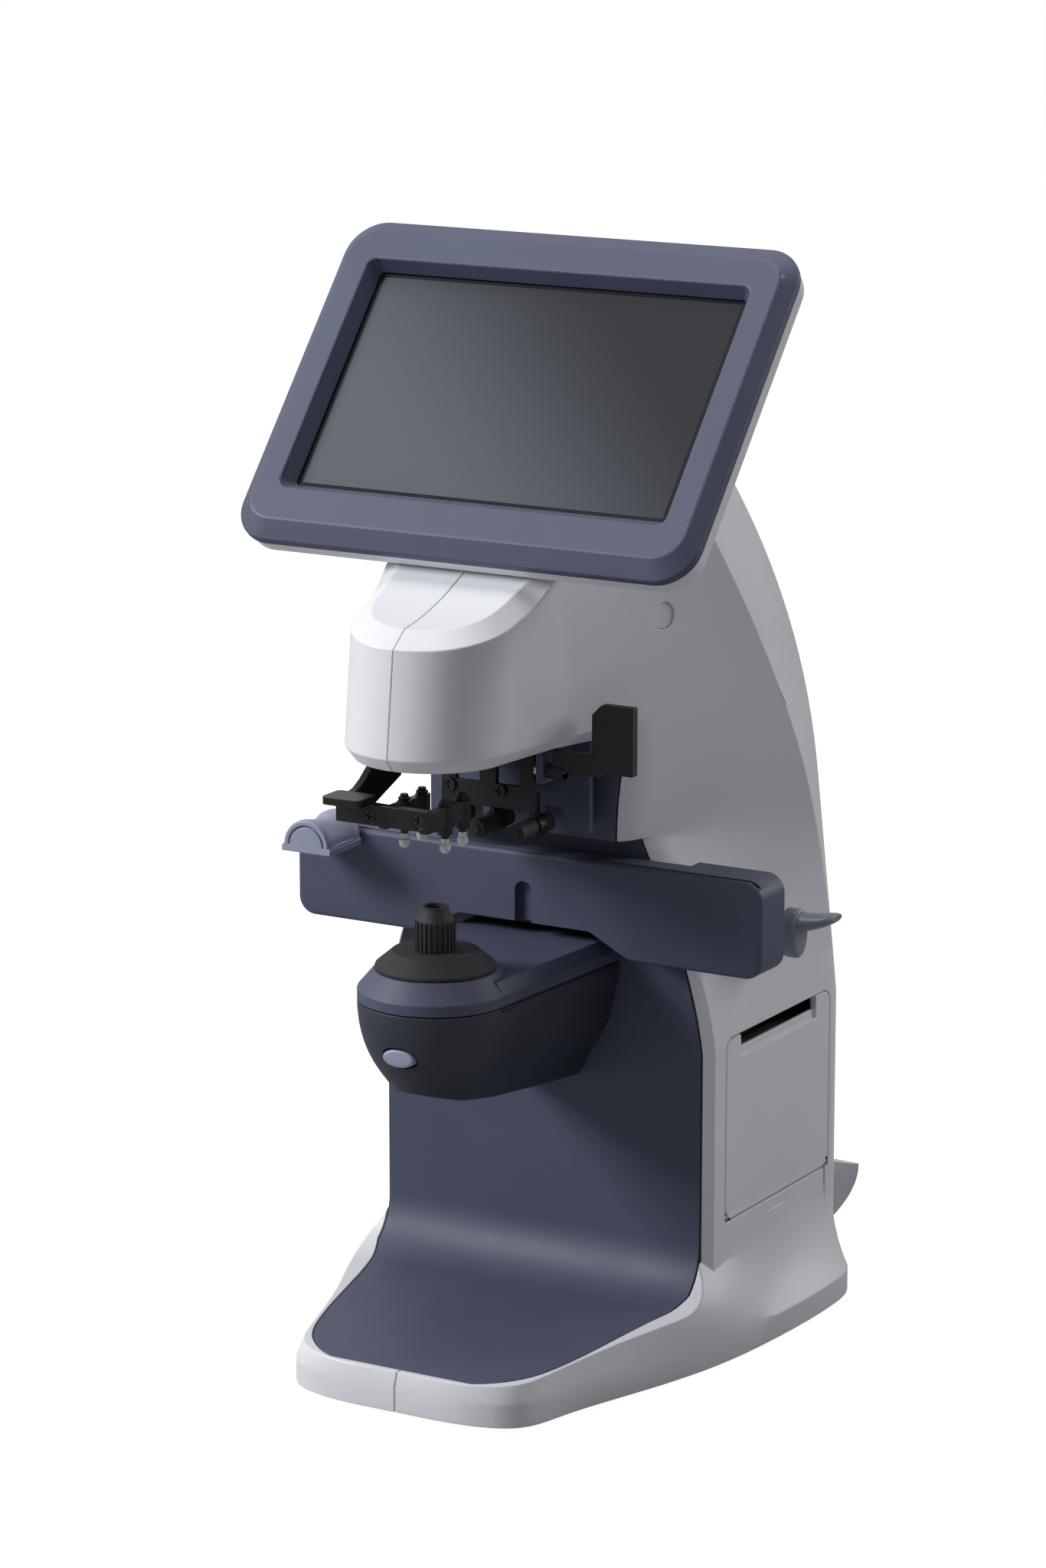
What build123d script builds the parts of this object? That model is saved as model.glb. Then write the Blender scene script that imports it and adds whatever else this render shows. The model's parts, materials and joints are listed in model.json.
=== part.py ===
from build123d import *
import os
from math import atan, cos, pi, radians, sin

# Auto lensmeter, in millimetres. X points to the object's right, Y to its back and Z up.
# Everything is laid out from the base's front lower edge. At the end each piece is moved so that
# the origin lies on the table top, under the middle of the object's plan.

# Casing
wall = 2.8
chin_wall = 3.1
skirt_wall = 4.2
panel_thickness = 2.5
ledge_thickness = 1.8
ledge_width = 5.0
panel_gap = 0.3
panel_overcut = 0.2
seam_gap = 0.3
depth_to_spine = 229.4
column_half_width = 71.5
column_front = 107.4
column_side_end = 209.0
rim_step_x = 3.3
rim_step_y = 5.0
panel_half_width = 68.0
shoulder_bottom = 118.0
shoulder_power = 1.4
shoulder_top_half_width = 41.6
neck_bottom = 198.0
neck_front = 96.0
neck_half_width = 37.6
neck_spread = 6.2
head_bottom = 239.3
head_wall_bottom = 244.2
nose_radius = 32.0
nose_front_low = -2.6
nose_lean = 0.116
nose_bottom_inset = 4.1
head_root_x = 36.5
head_root_y = 62.0
side_bow = 3.0
crease_sweep = 77.0
crease_span = 185.0
crease_power = 1.6
crease_narrowing = 11.3
spine_edge = 213.0
spine_edge_inset = 0.8
spine_edge_taper = 0.108
spine_fall = 45.0
spine_fall_start = 205.0
spine_fall_span = 115.0
body_top = 352.0
roof_drop = 3.6
nose_top_front = 288.4
nose_top_length = 51.0
roof_slope = 0.06
roof_curve = 0.0045
nose_chamfer_in = 7.0
nose_chamfer_down = 5.2
plug_y = 109.0
plug_z = 282.0
plug_radius = 5.0

# Base
lip_height = 9.4
flare_top = 45.0
base_half_width = 84.0
flare_tuck = 0.3
toe_half_width = 44.0
toe_top = 15.2
toe_slope = 0.089
toe_bend_radius = 22.0
toe_margin = 4.0
foot_height = 2.0
foot_radius = 8.0
base_plate_thickness = 1.5
base_plate_gap = 0.4

# Screen
screen_tilt = 40.41
screen_y = 90.6
screen_z = 362.1
glass_width = 154.0
glass_height = 93.3
glass_thickness = 1.2
glass_margin = 2.0
bezel_half_width = 95.3
bezel_below = 71.9
bezel_above = 68.1
bezel_corner = 15.0
bezel_face_inset_x = 5.0
bezel_face_inset_y = 7.0
bezel_face_corner = 11.0
bezel_face = 6.5
bezel_edge = 2.0
bezel_back = 1.0
opening_flare = 3.7
opening_drop = 1.2
housing_inset = 1.0
housing_wall = 2.5
housing_side = 7.0
housing_depth = 16.0
housing_taper = 9.0
module_thickness = 5.0
hinge_back = 22.0
hinge_up = 2.0
hinge_pin_radius = 2.5
hinge_boss_radius = 5.5
lug_inner = 17.0
lug_thickness = 5.0
ear_thickness = 4.0
screen_clearance = 4.0
side_gap = 0.4
ear_edge = lug_inner + lug_thickness + side_gap + ear_thickness
running_gap = 0.06

# Main frame, inside the casing
frame_half_width = 30.0
frame_plate = 4.0
frame_front = 116.0
frame_back = 196.0
frame_arm_half_width = 18.0
upper_arm_bottom = 262.0
upper_arm_height = 6.0
lower_arm_half_width = 13.0
lower_arm_bottom = 126.0
lower_arm_height = 6.0
lower_arm_front = 19.9
frame_foot_half_width = 44.0

# Optics: the axis goes through the nosepiece, the lens holder and the head
axis_y = 29.9
tube_radius = 7.5
tube_bottom = 240.5
tube_wall = 1.2
lamp_radius = 10.0
lamp_height = 18.0
sensor_radius = 11.0
sensor_height = 14.0

# Lower housing
housing_seam = 149.5
housing_joint = 0.4
nose_housing_radius = 28.5
nose_housing_back = 33.0
lower_wall = 2.0
deck_side_top = 154.0
deck_top = 158.8
deck_chamfer = 3.0
cone_top = 161.0
cone_top_radius = 22.5

# Nosepiece
flange_radius = 22.0
flange_rim = 1.3
flange_top_radius = 15.7
flange_height = 6.6
spigot_radius = 5.4
spigot_height = 9.0
nosepiece_radius = 7.0
nosepiece_rib = 0.55
nosepiece_ribs = 24
nosepiece_rib_height = 11.0
nosepiece_shoulder = 4.0
nosepiece_rim_radius = 4.9
nosepiece_bore_radius = 4.0
nosepiece_top = 184.0

# Memory button
button_width = 13.2
button_height = 6.8
button_z = 133.0
button_front = 3.3
button_gap = 0.7
button_depth = 6.0
button_travel = 1.2
button_round = 1.2

# Lens table
table_half_width = 99.5
table_front = 93.0
table_bottom = 154.0
table_top = 190.5
table_depth = 19.0
table_middle_depth = 12.5
table_middle_half_width = 64.0
table_wall = 2.5
table_corner = 7.0
table_edge_round = 2.0
cutout_low_half_width = 46.0
cutout_high_half_width = 28.0
cutout_height = 9.5
sight_groove_width = 7.0
sight_groove_top = 179.0
sight_groove_depth = 3.0
table_travel = 38.0
carriage_half_width = 15.0
carriage_bottom = 160.0
carriage_top = 170.0
carriage_opening_gap = 2.0
table_rod_x = 21.5
table_rod_radius = 3.0
rail_groove_width = 1.8
rail_groove_depth = 2.4
rail_width = 2.0

# Nose pad slider
slider_x = -81.0
slider_half_width = 10.8
slider_radius = 10.0
slider_waist = 1.4
slider_front = 70.0
slider_plate_bottom = 184.6
slider_plate_thickness = 2.7
slider_cap_radius = 7.2
slider_hook_thickness = 1.6

# Table lever
lever_y = 152.0
lever_z = 157.0
lever_barrel_radius = 6.0
lever_half_height = 9.5
lever_half_depth = 6.5
lever_start = 67.0
lever_face_start = 79.5
lever_face_end = 86.0
lever_shaft_radius = 3.0
lever_crank_length = 14.0

# Lens holder
holder_front = 7.0
holder_left = 27.7
holder_right = 10.9
holder_bottom = 217.0
holder_top = 224.8
holder_thickness = 3.2
holder_arm_x = 25.5
holder_arm_thickness = 3.0
holder_arm_top = 276.0
holder_boss_height = 12.0
holder_boss_radius = 4.2
holder_rod_radius = 2.5
holder_rod_y = 49.5
holder_post_top = 290.0
tab_thickness = 3.0
pin_x = 8.5
pin_spacing_y = 12.2
pin_centre_y = 29.0
pin_radius = 1.5
pin_boss_radius = 2.7
pin_boss_bottom = 213.0
pin_tip_bottom = 206.0
pin_tip_radius = 2.0
pin_tip_height = 3.4
pin_neck_height = 5.6
pin_core_radius = 0.9
leg_half_width = 1.7
screw_radius = 2.7

# Marking unit
pen_pitch = 17.0
pen_radius = 3.2
pen_front = 57.5
pen_back = 81.5
pen_z = 206.6
pen_cap_radius = 3.6
pen_cap_length = 5.0
pen_pivot_y = 72.5
pen_pivot_z = 217.5
pen_arm_thickness = 2.0
pen_ring_radius = 4.1
marker_plate_y = 69.6
marker_plate_thickness = 2.4
marker_half_width = 19.6
marker_bottom = 213.0
marker_top = 237.0
marker_stem_x = 13.0
marker_stem_half_width = 2.9
marker_rod_radius = 2.0
marker_rod_z = 252.0
marker_travel = 26.0
marker_hanger_y = 11.0
marker_back_hanger_y = 92.0
comb_left = 36.0
comb_right = 32.0
comb_y = 86.5
comb_thickness = 2.5
comb_bottom = 203.0
comb_window = 7.3
comb_window_top = 211.0
lever_pivot_y = 70.0
lever_pivot_z = 229.0
lever_ear_x = 21.0
marking_shaft_radius = 2.0
marking_sleeve_radius = 3.0
marking_tab_left = 43.0
marking_tab_right = 60.0
marking_tab_top = 256.0
marking_plate = 4.0

# Printer, behind the door in the right side
door_front = 121.0
door_back = 206.0
door_bottom = 49.5
door_top = 121.0
door_corner = 5.0
door_gap = 0.4
door_hook = 12.0
door_low_corner = 2.0
slot_height = 5.6
slot_ledge = 9.0
slot_ledge_depth = 1.3
door_pin_radius = 0.8
roll_radius = 14.5
roll_width = 58.0
roll_core_radius = 4.0
roll_x = 50.5
roll_z = 72.0
roll_y = 164.0
platen_radius = 4.0
platen_x = 60.0
platen_z = 108.0

# Rear connections
rear_half_width = 45.0
rear_bottom = 22.0
rear_top = 84.0
rear_face = 214.0
inlet_width = 27.0
inlet_height = 20.0
inlet_x = -20.0
inlet_z = 52.0
switch_width = 13.0
switch_height = 19.0
switch_x = 10.0
port_width = 14.0
port_height = 12.0
port_x = 32.0


def lerp(a, b, t):
    """Number between a and b."""
    return a + (b - a) * t


def rise(z, start):
    """Height above a start level, never below zero."""
    return max(0.0, z - start)


def block(x, y, z):
    """Box between pairs of X, Y and Z limits."""
    middle = (sum(x) / 2, sum(y) / 2, sum(z) / 2)
    return Pos(*middle) * Box(x[1] - x[0], y[1] - y[0], z[1] - z[0])


def rod(start, direction, length, radius):
    """Round bar from a point along a direction."""
    return extrude(Plane(origin=start, z_dir=direction) * Circle(radius), amount=length)


def bar_x(x0, x1, y, z, radius):
    """Round bar along X."""
    return rod((x0, y, z), (1, 0, 0), x1 - x0, radius)


def bar_y(x, y0, y1, z, radius):
    """Round bar along Y."""
    return rod((x, y0, z), (0, 1, 0), y1 - y0, radius)


def bar_z(x, y, z0, z1, radius):
    """Round bar along Z."""
    return rod((x, y, z0), (0, 0, 1), z1 - z0, radius)


def both(shape):
    """A shape together with its mirror image on the other side."""
    return shape + mirror(shape, about=Plane.YZ)


def side_sheet(points, x0, x1):
    """Flat sheet seen from the side: a polygon of (Y, Z) points between two X positions."""
    face = make_face(Polyline(*[(x0, y, z) for y, z in points], close=True))
    return extrude(face, amount=x1 - x0, dir=(1, 0, 0))


def front_sheet(points, y0, y1):
    """Flat sheet seen from the front: a polygon of (X, Z) points between two Y positions."""
    face = make_face(Polyline(*[(x, y0, z) for x, z in points], close=True))
    return extrude(face, amount=y1 - y0, dir=(0, 1, 0))


def turned(profile, x, y):
    """Solid of revolution about a vertical line, from (radius, height) points."""
    face = make_face(Polyline(*[(r, 0, z) for r, z in profile], close=True))
    return Pos(x, y, 0) * revolve(face, axis=Axis.Z)


def shoulder_x(z):
    """Half width of the navy panel in the column and its shoulders."""
    u = min(1.0, rise(z, shoulder_bottom) / (neck_bottom - shoulder_bottom))
    return panel_half_width - (panel_half_width - shoulder_top_half_width) * u ** shoulder_power


def neck_x(z):
    """Half width of the panel in the neck, which spreads into the head."""
    u = rise(z, neck_bottom) / (head_wall_bottom - neck_bottom)
    return neck_half_width + neck_spread * u ** 2


def crease(z):
    """Corner between the side and the back strip."""
    u = rise(z, shoulder_bottom) / crease_span
    y = column_side_end - crease_sweep * u ** crease_power
    v = rise(z, spine_fall_start) / (spine_fall_span - 10.0)
    x = column_half_width - crease_narrowing * v ** 1.5
    return x, y


def spine_edge_point(z):
    """Corner between the back strip and the rounded spine."""
    x = column_half_width - spine_edge_inset - spine_edge_taper * rise(z, shoulder_bottom)
    u = rise(z, spine_fall_start) / spine_fall_span
    return x, spine_edge - spine_fall * u ** 2


def curve_share(y0, y1, y2, y):
    """Share of a side curve that lies before a Y position, from the Y of its control points."""
    b = 2 * (y1 - y0)
    return 2 * (y - y0) / (b + (b * b + 4 * (y0 - 2 * y1 + y2) * (y - y0)) ** 0.5)


def bow_at(z):
    """How far the side curve bulges at a height."""
    return side_bow * min(1.0, rise(z, shoulder_bottom) / (neck_bottom - shoulder_bottom))


def shoulder_root(z):
    """X at the head's root line of the side curve that meets the column's rim."""
    xd, yd = crease(z)
    bow = bow_at(z)
    t = curve_share(head_root_y, (head_root_y + yd) / 2 + bow, yd, column_front + rim_step_y)
    return (shoulder_x(z) + rim_step_x - xd * t) / (1 - t) + 2 * bow * t


def side_curve(z, root_inset=0.0, inset=0.0):
    """Control points in plan of the casing's side, from the head's root line back to the crease."""
    u = min(1.0, rise(z, neck_bottom) / (head_wall_bottom - neck_bottom))
    root_x = lerp(shoulder_root(min(z, neck_bottom)), head_root_x, u ** 2) - root_inset
    xd, yd = crease(z)
    bow = bow_at(z)
    middle = ((root_x + xd) / 2 - bow - inset, (head_root_y + yd) / 2 + bow)
    return (root_x - inset, head_root_y), middle, (xd - inset, yd - 0.3 * inset)


def curve_behind(curve, y):
    """Control points of the part of a side curve that lies behind a Y position."""
    (x0, y0), (x1, y1), (x2, y2) = curve
    t = curve_share(y0, y1, y2, y)
    middle = (lerp(x1, x2, t), lerp(y1, y2, t))
    return (lerp(lerp(x0, x1, t), middle[0], t), y), middle, (x2, y2)


def section(z, zone, inset=0.0, front_inset=0.0, nose_inset=0.0):
    """Plan section of the column, neck or head at one height."""
    xe, ye = spine_edge_point(z)
    spine = ye + (depth_to_spine - spine_edge) * xe / column_half_width
    xe, ye, spine = xe - inset, ye - 0.6 * inset, spine - inset
    bulge = ye + (spine - ye) * 4.0 / 3.0
    if zone == "head":
        radius = nose_radius - inset - nose_inset
        yc = nose_front_low + nose_lean * (z - head_wall_bottom) + nose_radius
        a = (radius, yc)
        rim_y = head_root_y
        start = ThreePointArc((-radius, yc), (0, yc - radius), (radius, yc))
    else:
        face_x, face_y = (shoulder_x(z), column_front) if zone == "column" else (neck_x(z), neck_front)
        a = (face_x - inset, face_y + front_inset)
        rim_y = face_y + rim_step_y
        start = Line((-a[0], a[1]), a)
    b, mid, d = curve_behind(side_curve(z, nose_inset, inset), rim_y)
    edges = [
        start,
        Line(a, b),
        Bezier(b, mid, d),
        Line(d, (xe, ye)),
        Bezier((xe, ye), (xe / 2, bulge), (-xe / 2, bulge), (-xe, ye)),
        Line((-xe, ye), (-d[0], d[1])),
        Bezier((-d[0], d[1]), (-mid[0], mid[1]), (-b[0], b[1])),
        Line((-b[0], b[1]), (-a[0], a[1])),
    ]
    return Pos(0, 0, z) * make_face(edges)


def levels(start, end, count):
    """Evenly spaced heights."""
    return [lerp(start, end, i / (count - 1)) for i in range(count)]


def stack(heights, zone, inset=0.0, front_inset=0.0):
    """Smooth solid through plan sections at several heights."""
    return loft([section(z, zone, inset, front_inset) for z in heights])


def flare_share(z):
    """Share of the way from the lip to the column that the skirt has drawn in at a height."""
    u = (flare_top - z) / (flare_top - lip_height)
    return 1.0 - u ** 2


def base_ring(z, inset=0.0, share=0.0):
    """Plan section of the base: the lip's outline, moved by a share towards the column, then inset."""
    side = column_half_width - flare_tuck
    corner_x = lerp(base_half_width - 6.3, column_half_width - 6.0, share ** 3)
    spine = depth_to_spine - flare_tuck
    rows = [
        ((0.0, 0.0), (0.0, 6.0), (0.0, 1.0)),
        ((toe_half_width - 14.0, 1.2), (toe_half_width - 15.0, 7.0), (-0.1, 1.0)),
        ((toe_half_width + 4.0, 9.0), (toe_half_width - 2.0, 15.0), (-0.7, 0.7)),
        ((toe_half_width + 10.6, 26.0), (toe_half_width + 5.6, 28.0), (-1.0, 0.25)),
        ((base_half_width - 18.4, 60.0), (base_half_width - 25.0, 60.0), (-1.0, 0.0)),
        ((base_half_width - 6.3, 101.0), (corner_x, 101.0), (-1.0, 0.0)),
        ((base_half_width - 0.8, 145.0), (side, 145.0), (-1.0, 0.0)),
        ((base_half_width, 188.0), (side, 188.0), (-1.0, 0.0)),
        ((base_half_width - 2.5, 204.0), (side, 203.0), (-1.0, -0.3)),
        ((base_half_width - 12.0, 216.0), (side - 2.3, spine_edge + 0.2), (-1.0, -0.6)),
        ((base_half_width - 34.0, 224.0), (base_half_width - 34.0, 221.0), (-0.7, -0.8)),
        ((0.0, depth_to_spine), (0.0, spine), (0.0, -0.8)),
    ]
    points = []
    for (x0, y0), (x1, y1), (inset_x, inset_y) in rows:
        points.append((lerp(x0, x1, share) + inset * inset_x, lerp(y0, y1, share) + inset * inset_y))
    right = Spline(*points, tangents=[(1, 0), (-1, 0)])
    left = mirror(right, about=Plane.YZ)
    return Pos(0, 0, z) * make_face([right, left])


def skirt(inset):
    """The base: an upright lip and a skirt that sweeps in to the column."""
    lip = extrude(base_ring(0, inset), amount=lip_height)
    rings = [base_ring(z, inset, flare_share(z)) for z in levels(lip_height, flare_top, 5)]
    return lip + loft(rings)


def panel_line(depth):
    """Side view of the panel's face from toe to column, set back by a depth."""
    lean = atan(toe_slope)
    radius = toe_bend_radius + depth
    centre_y = column_front - toe_bend_radius
    centre_z = toe_top + toe_slope * (centre_y - toe_margin) + toe_bend_radius / cos(lean)
    touch = (centre_y + radius * sin(lean), centre_z - radius * cos(lean))
    half = (lean + pi / 2) / 2
    middle = (centre_y + radius * sin(half), centre_z - radius * cos(half))
    return touch, middle, (column_front + depth, centre_z)


def toe_end(depth, y):
    """Point on the straight part of the panel line."""
    touch = panel_line(depth)[0]
    return y, touch[1] - toe_slope * (touch[0] - y)


def front_air(depth):
    """The open space over the toe and before the column."""
    touch, middle, upright = panel_line(depth)
    far = toe_end(depth, -50.0)
    ceiling = flare_top + 45.0
    edges = [
        Line((0, *far), (0, *touch)),
        ThreePointArc((0, *touch), (0, *middle), (0, *upright)),
        Polyline((0, *upright), (0, upright[0], ceiling), (0, far[0], ceiling), (0, *far)),
    ]
    return Pos(-120, 0, 0) * extrude(make_face(edges), amount=240, dir=(1, 0, 0))


def screen_point(v, d):
    """Y and Z of a point in the screen's own frame: v up its face, d out of it."""
    tilt = radians(screen_tilt)
    return screen_y + v * sin(tilt) - d * cos(tilt), screen_z + v * cos(tilt) + d * sin(tilt)


def roof(y):
    """Height of the head's top over the nose."""
    return nose_top_front + roof_slope * y + roof_curve * y * y


def roof_air(drop):
    """The open space above the head: over the nose, behind the screen and over the back."""
    foot = screen_point(-62.0, -housing_depth - screen_clearance)
    crest = screen_point(3.0, -housing_depth - screen_clearance)
    nose = [(0, y, roof(y) - drop) for y in (-20.0, 0.0, 20.0, 38.0, nose_top_length)]
    rest = [
        nose[-1],
        (0, foot[0], nose[-1][2]),
        (0, crest[0], crest[1] - drop),
        (0, crest[0] + 6.0, body_top - drop),
        (0, 260, body_top - drop),
        (0, 260, 400),
        (0, -20, 400),
        nose[0],
    ]
    face = make_face([Spline(*nose), Polyline(*rest)])
    return Pos(-120, 0, 0) * extrude(face, amount=240, dir=(1, 0, 0))


def nose_chamfer():
    """The wide chamfer round the nose's top edge, as the wedge that is cut away."""
    centre = nose_front_low + nose_lean * (roof(0) - head_wall_bottom) + nose_radius
    stations = [(head_root_x, head_root_y, 0.16), (lerp(nose_radius, head_root_x, 0.4), 46.0, 0.16)]
    turns = [(nose_radius * cos(a), centre - nose_radius * sin(a), sin(a))
             for a in levels(0.1, pi - 0.1, 9)]
    back = [(-x, y, s) for x, y, s in reversed(stations)]
    outer_reach = 4.0
    inner_reach = 1.0
    slope = nose_chamfer_down / nose_chamfer_in
    wedges = []
    for x, y, forward in stations + turns + back:
        side = (1 - forward * forward) ** 0.5 * (1 if x > 0 else -1)
        inner = nose_chamfer_in + inner_reach
        a = (x - side * inner, y + forward * inner)
        b = (x + side * outer_reach, y - forward * outer_reach)
        top = roof(y + forward * nose_chamfer_in)
        high = (a[0], a[1], top + slope * inner_reach)
        low = (b[0], b[1], roof(y) - nose_chamfer_down - slope * outer_reach)
        corner = (b[0], b[1], top + 12.0)
        wedges.append(make_face(Polyline(high, low, corner, (a[0], a[1], top + 12.0), close=True)))
    return loft(wedges)


def casing_outer():
    """The casing as one full body."""
    column = extrude(section(shoulder_bottom, "column"), amount=lip_height - shoulder_bottom)
    shoulders = stack(levels(shoulder_bottom, neck_bottom, 5), "column")
    neck = stack(levels(neck_bottom, head_wall_bottom, 4), "neck")
    chin = loft([
        section(head_bottom, "head", nose_inset=nose_bottom_inset),
        section(head_wall_bottom, "head"),
    ])
    head = stack(levels(head_wall_bottom, body_top + 4.0, 6), "head")
    head = chin + head - roof_air(0.0) - nose_chamfer()
    return skirt(0.0) - front_air(0.0) + column + shoulders + neck + head


def hollow_parts():
    """The hollow inside the casing, open at the bottom, as overlapping bodies."""
    front = panel_thickness + ledge_thickness
    base = section(shoulder_bottom, "column", wall, front)
    column = extrude(base, amount=lip_height - shoulder_bottom)
    shoulders = stack(levels(shoulder_bottom, neck_bottom, 5), "column", wall, front)
    bridge = extrude(section(neck_bottom, "column", wall, front), amount=front + 1.0)
    neck = stack(levels(neck_bottom + front, head_wall_bottom, 4), "neck", wall, front)
    chin_bottom = head_bottom + wall
    chin = loft([
        section(chin_bottom, "head", chin_wall, nose_inset=0.5 * nose_bottom_inset),
        section(head_wall_bottom, "head", chin_wall),
    ])
    head = stack(levels(head_wall_bottom, body_top + 4.0, 6), "head", wall)
    head = head - roof_air(roof_drop) - Pos(0, 0, -roof_drop) * nose_chamfer()
    lower = skirt(skirt_wall) - front_air(front)
    return [lower, column, shoulders, bridge, neck, chin, head]


def panel_outline(inset):
    """Everything that lies straight behind or below the panel's outline, drawn in by an inset."""
    toe = [
        (toe_half_width - 14.5, toe_margin + 0.2),
        (toe_half_width - 5.5, 9.3),
        (toe_half_width + 2.5, 18.0),
        (toe_half_width + 8.0, 31.6),
        (toe_half_width + 11.5, 46.0),
        (toe_half_width + 17.7, 78.0),
        (panel_half_width, 99.0),
    ]
    right = [(x - inset, max(y, toe_margin + inset)) for x, y in toe]
    curve = Spline(*right)
    front_y = right[0][1]
    tail = column_front + 12.0
    edge = Polyline(right[-1], (panel_half_width - inset, tail), (0, tail))
    nose = Line((0, front_y), right[0])
    half = [nose, curve, edge]
    plan = make_face(half + [mirror(line, about=Plane.YZ) for line in half])
    on_toe = extrude(plan, amount=flare_top + 10.0)
    start = neck_front - 10.0
    shoulder = [(shoulder_x(z) - inset, start, z) for z in levels(shoulder_bottom, neck_bottom, 5)]
    neck = [(neck_x(z) - inset, start, z) for z in levels(neck_bottom, head_bottom - inset, 5)]
    half = [
        Polyline((0, start, flare_top), (panel_half_width - inset, start, flare_top), shoulder[0]),
        Spline(*shoulder),
        Line(shoulder[-1], neck[0]),
        Spline(*neck),
        Line(neck[-1], (0, start, neck[-1][2])),
    ]
    front = make_face(half + [mirror(line, about=Plane.YZ) for line in half])
    return on_toe + extrude(front, amount=column_front + 12.0 - start, dir=(0, 1, 0))


def panel_sheet(start, end):
    """The panel's bent sheet between two depths, over the casing's full width."""
    outer, inner = panel_line(start), panel_line(end)
    top = head_bottom
    far_out, far_in = toe_end(start, -10.0), toe_end(end, -10.0)
    edges = [
        Line((0, *far_out), (0, *outer[0])),
        ThreePointArc(*[(0, *p) for p in outer]),
        Polyline(
            (0, *outer[2]),
            (0, outer[2][0], neck_bottom + start),
            (0, neck_front + start, neck_bottom + start),
            (0, neck_front + start, top),
            (0, neck_front + end, top),
            (0, neck_front + end, neck_bottom + end),
            (0, inner[2][0], neck_bottom + end),
            (0, *inner[2]),
        ),
        ThreePointArc(*[(0, *p) for p in reversed(inner)]),
        Polyline((0, *inner[0]), (0, *far_in), (0, *far_out)),
    ]
    return Pos(-120, 0, 0) * extrude(make_face(edges), amount=240, dir=(1, 0, 0))


def side_surface(z, y):
    """X of the casing's side and its slope there, at a height and a Y position."""
    start, middle, _ = curve_behind(side_curve(z), y)
    return start[0], atan((middle[0] - start[0]) / (middle[1] - start[1]))


def plug_seat(depth_out, depth_in, radius):
    """Round bar square to the casing's right side at the shell screw."""
    x, angle = side_surface(plug_z, plug_y)
    normal = (cos(angle), -sin(angle), 0)
    start = (x + depth_out * normal[0], plug_y + depth_out * normal[1], plug_z)
    inward = (-normal[0], -normal[1], 0)
    return rod(start, inward, depth_out + depth_in, radius)


def door_prism(gap, x0, x1):
    """The door's outline, wide round corners above and small ones below, between two X positions."""
    height = door_top - door_bottom - 2 * gap
    width = door_back - door_front - 2 * gap
    middle = ((door_front + door_back) / 2, (door_bottom + door_top) / 2)
    sketch = Plane.YZ * Pos(*middle) * RectangleRounded(width, height, door_corner - gap)
    upper = Pos(x0, 0, 0) * extrude(sketch, amount=x1 - x0)
    sketch = Plane.YZ * Pos(*middle) * RectangleRounded(width, height, door_low_corner - gap)
    lower = Pos(x0, 0, 0) * extrude(sketch, amount=x1 - x0)
    low_half = block((x0 - 1.0, x1 + 1.0), (door_front - 1.0, door_back + 1.0), (0.0, middle[1]))
    return (upper - low_half) + (lower & low_half)


def slot_notch(x0, x1, height):
    """The paper slot's notch in the door's upper edge, down to a depth below it."""
    y = (door_front + door_hook, door_back - door_hook)
    return block((x0, x1), y, (door_top - height, door_top + 1.0))


def rear_opening(gap, y0, y1):
    """The opening in the casing's back, between two Y positions."""
    x = (-rear_half_width + gap, rear_half_width - gap)
    return block(x, (y0, y1), (rear_bottom + gap, rear_top - gap))


def hinge_place():
    """Y and Z of the screen's tilt axis."""
    return screen_point(hinge_up, -hinge_back)


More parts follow.
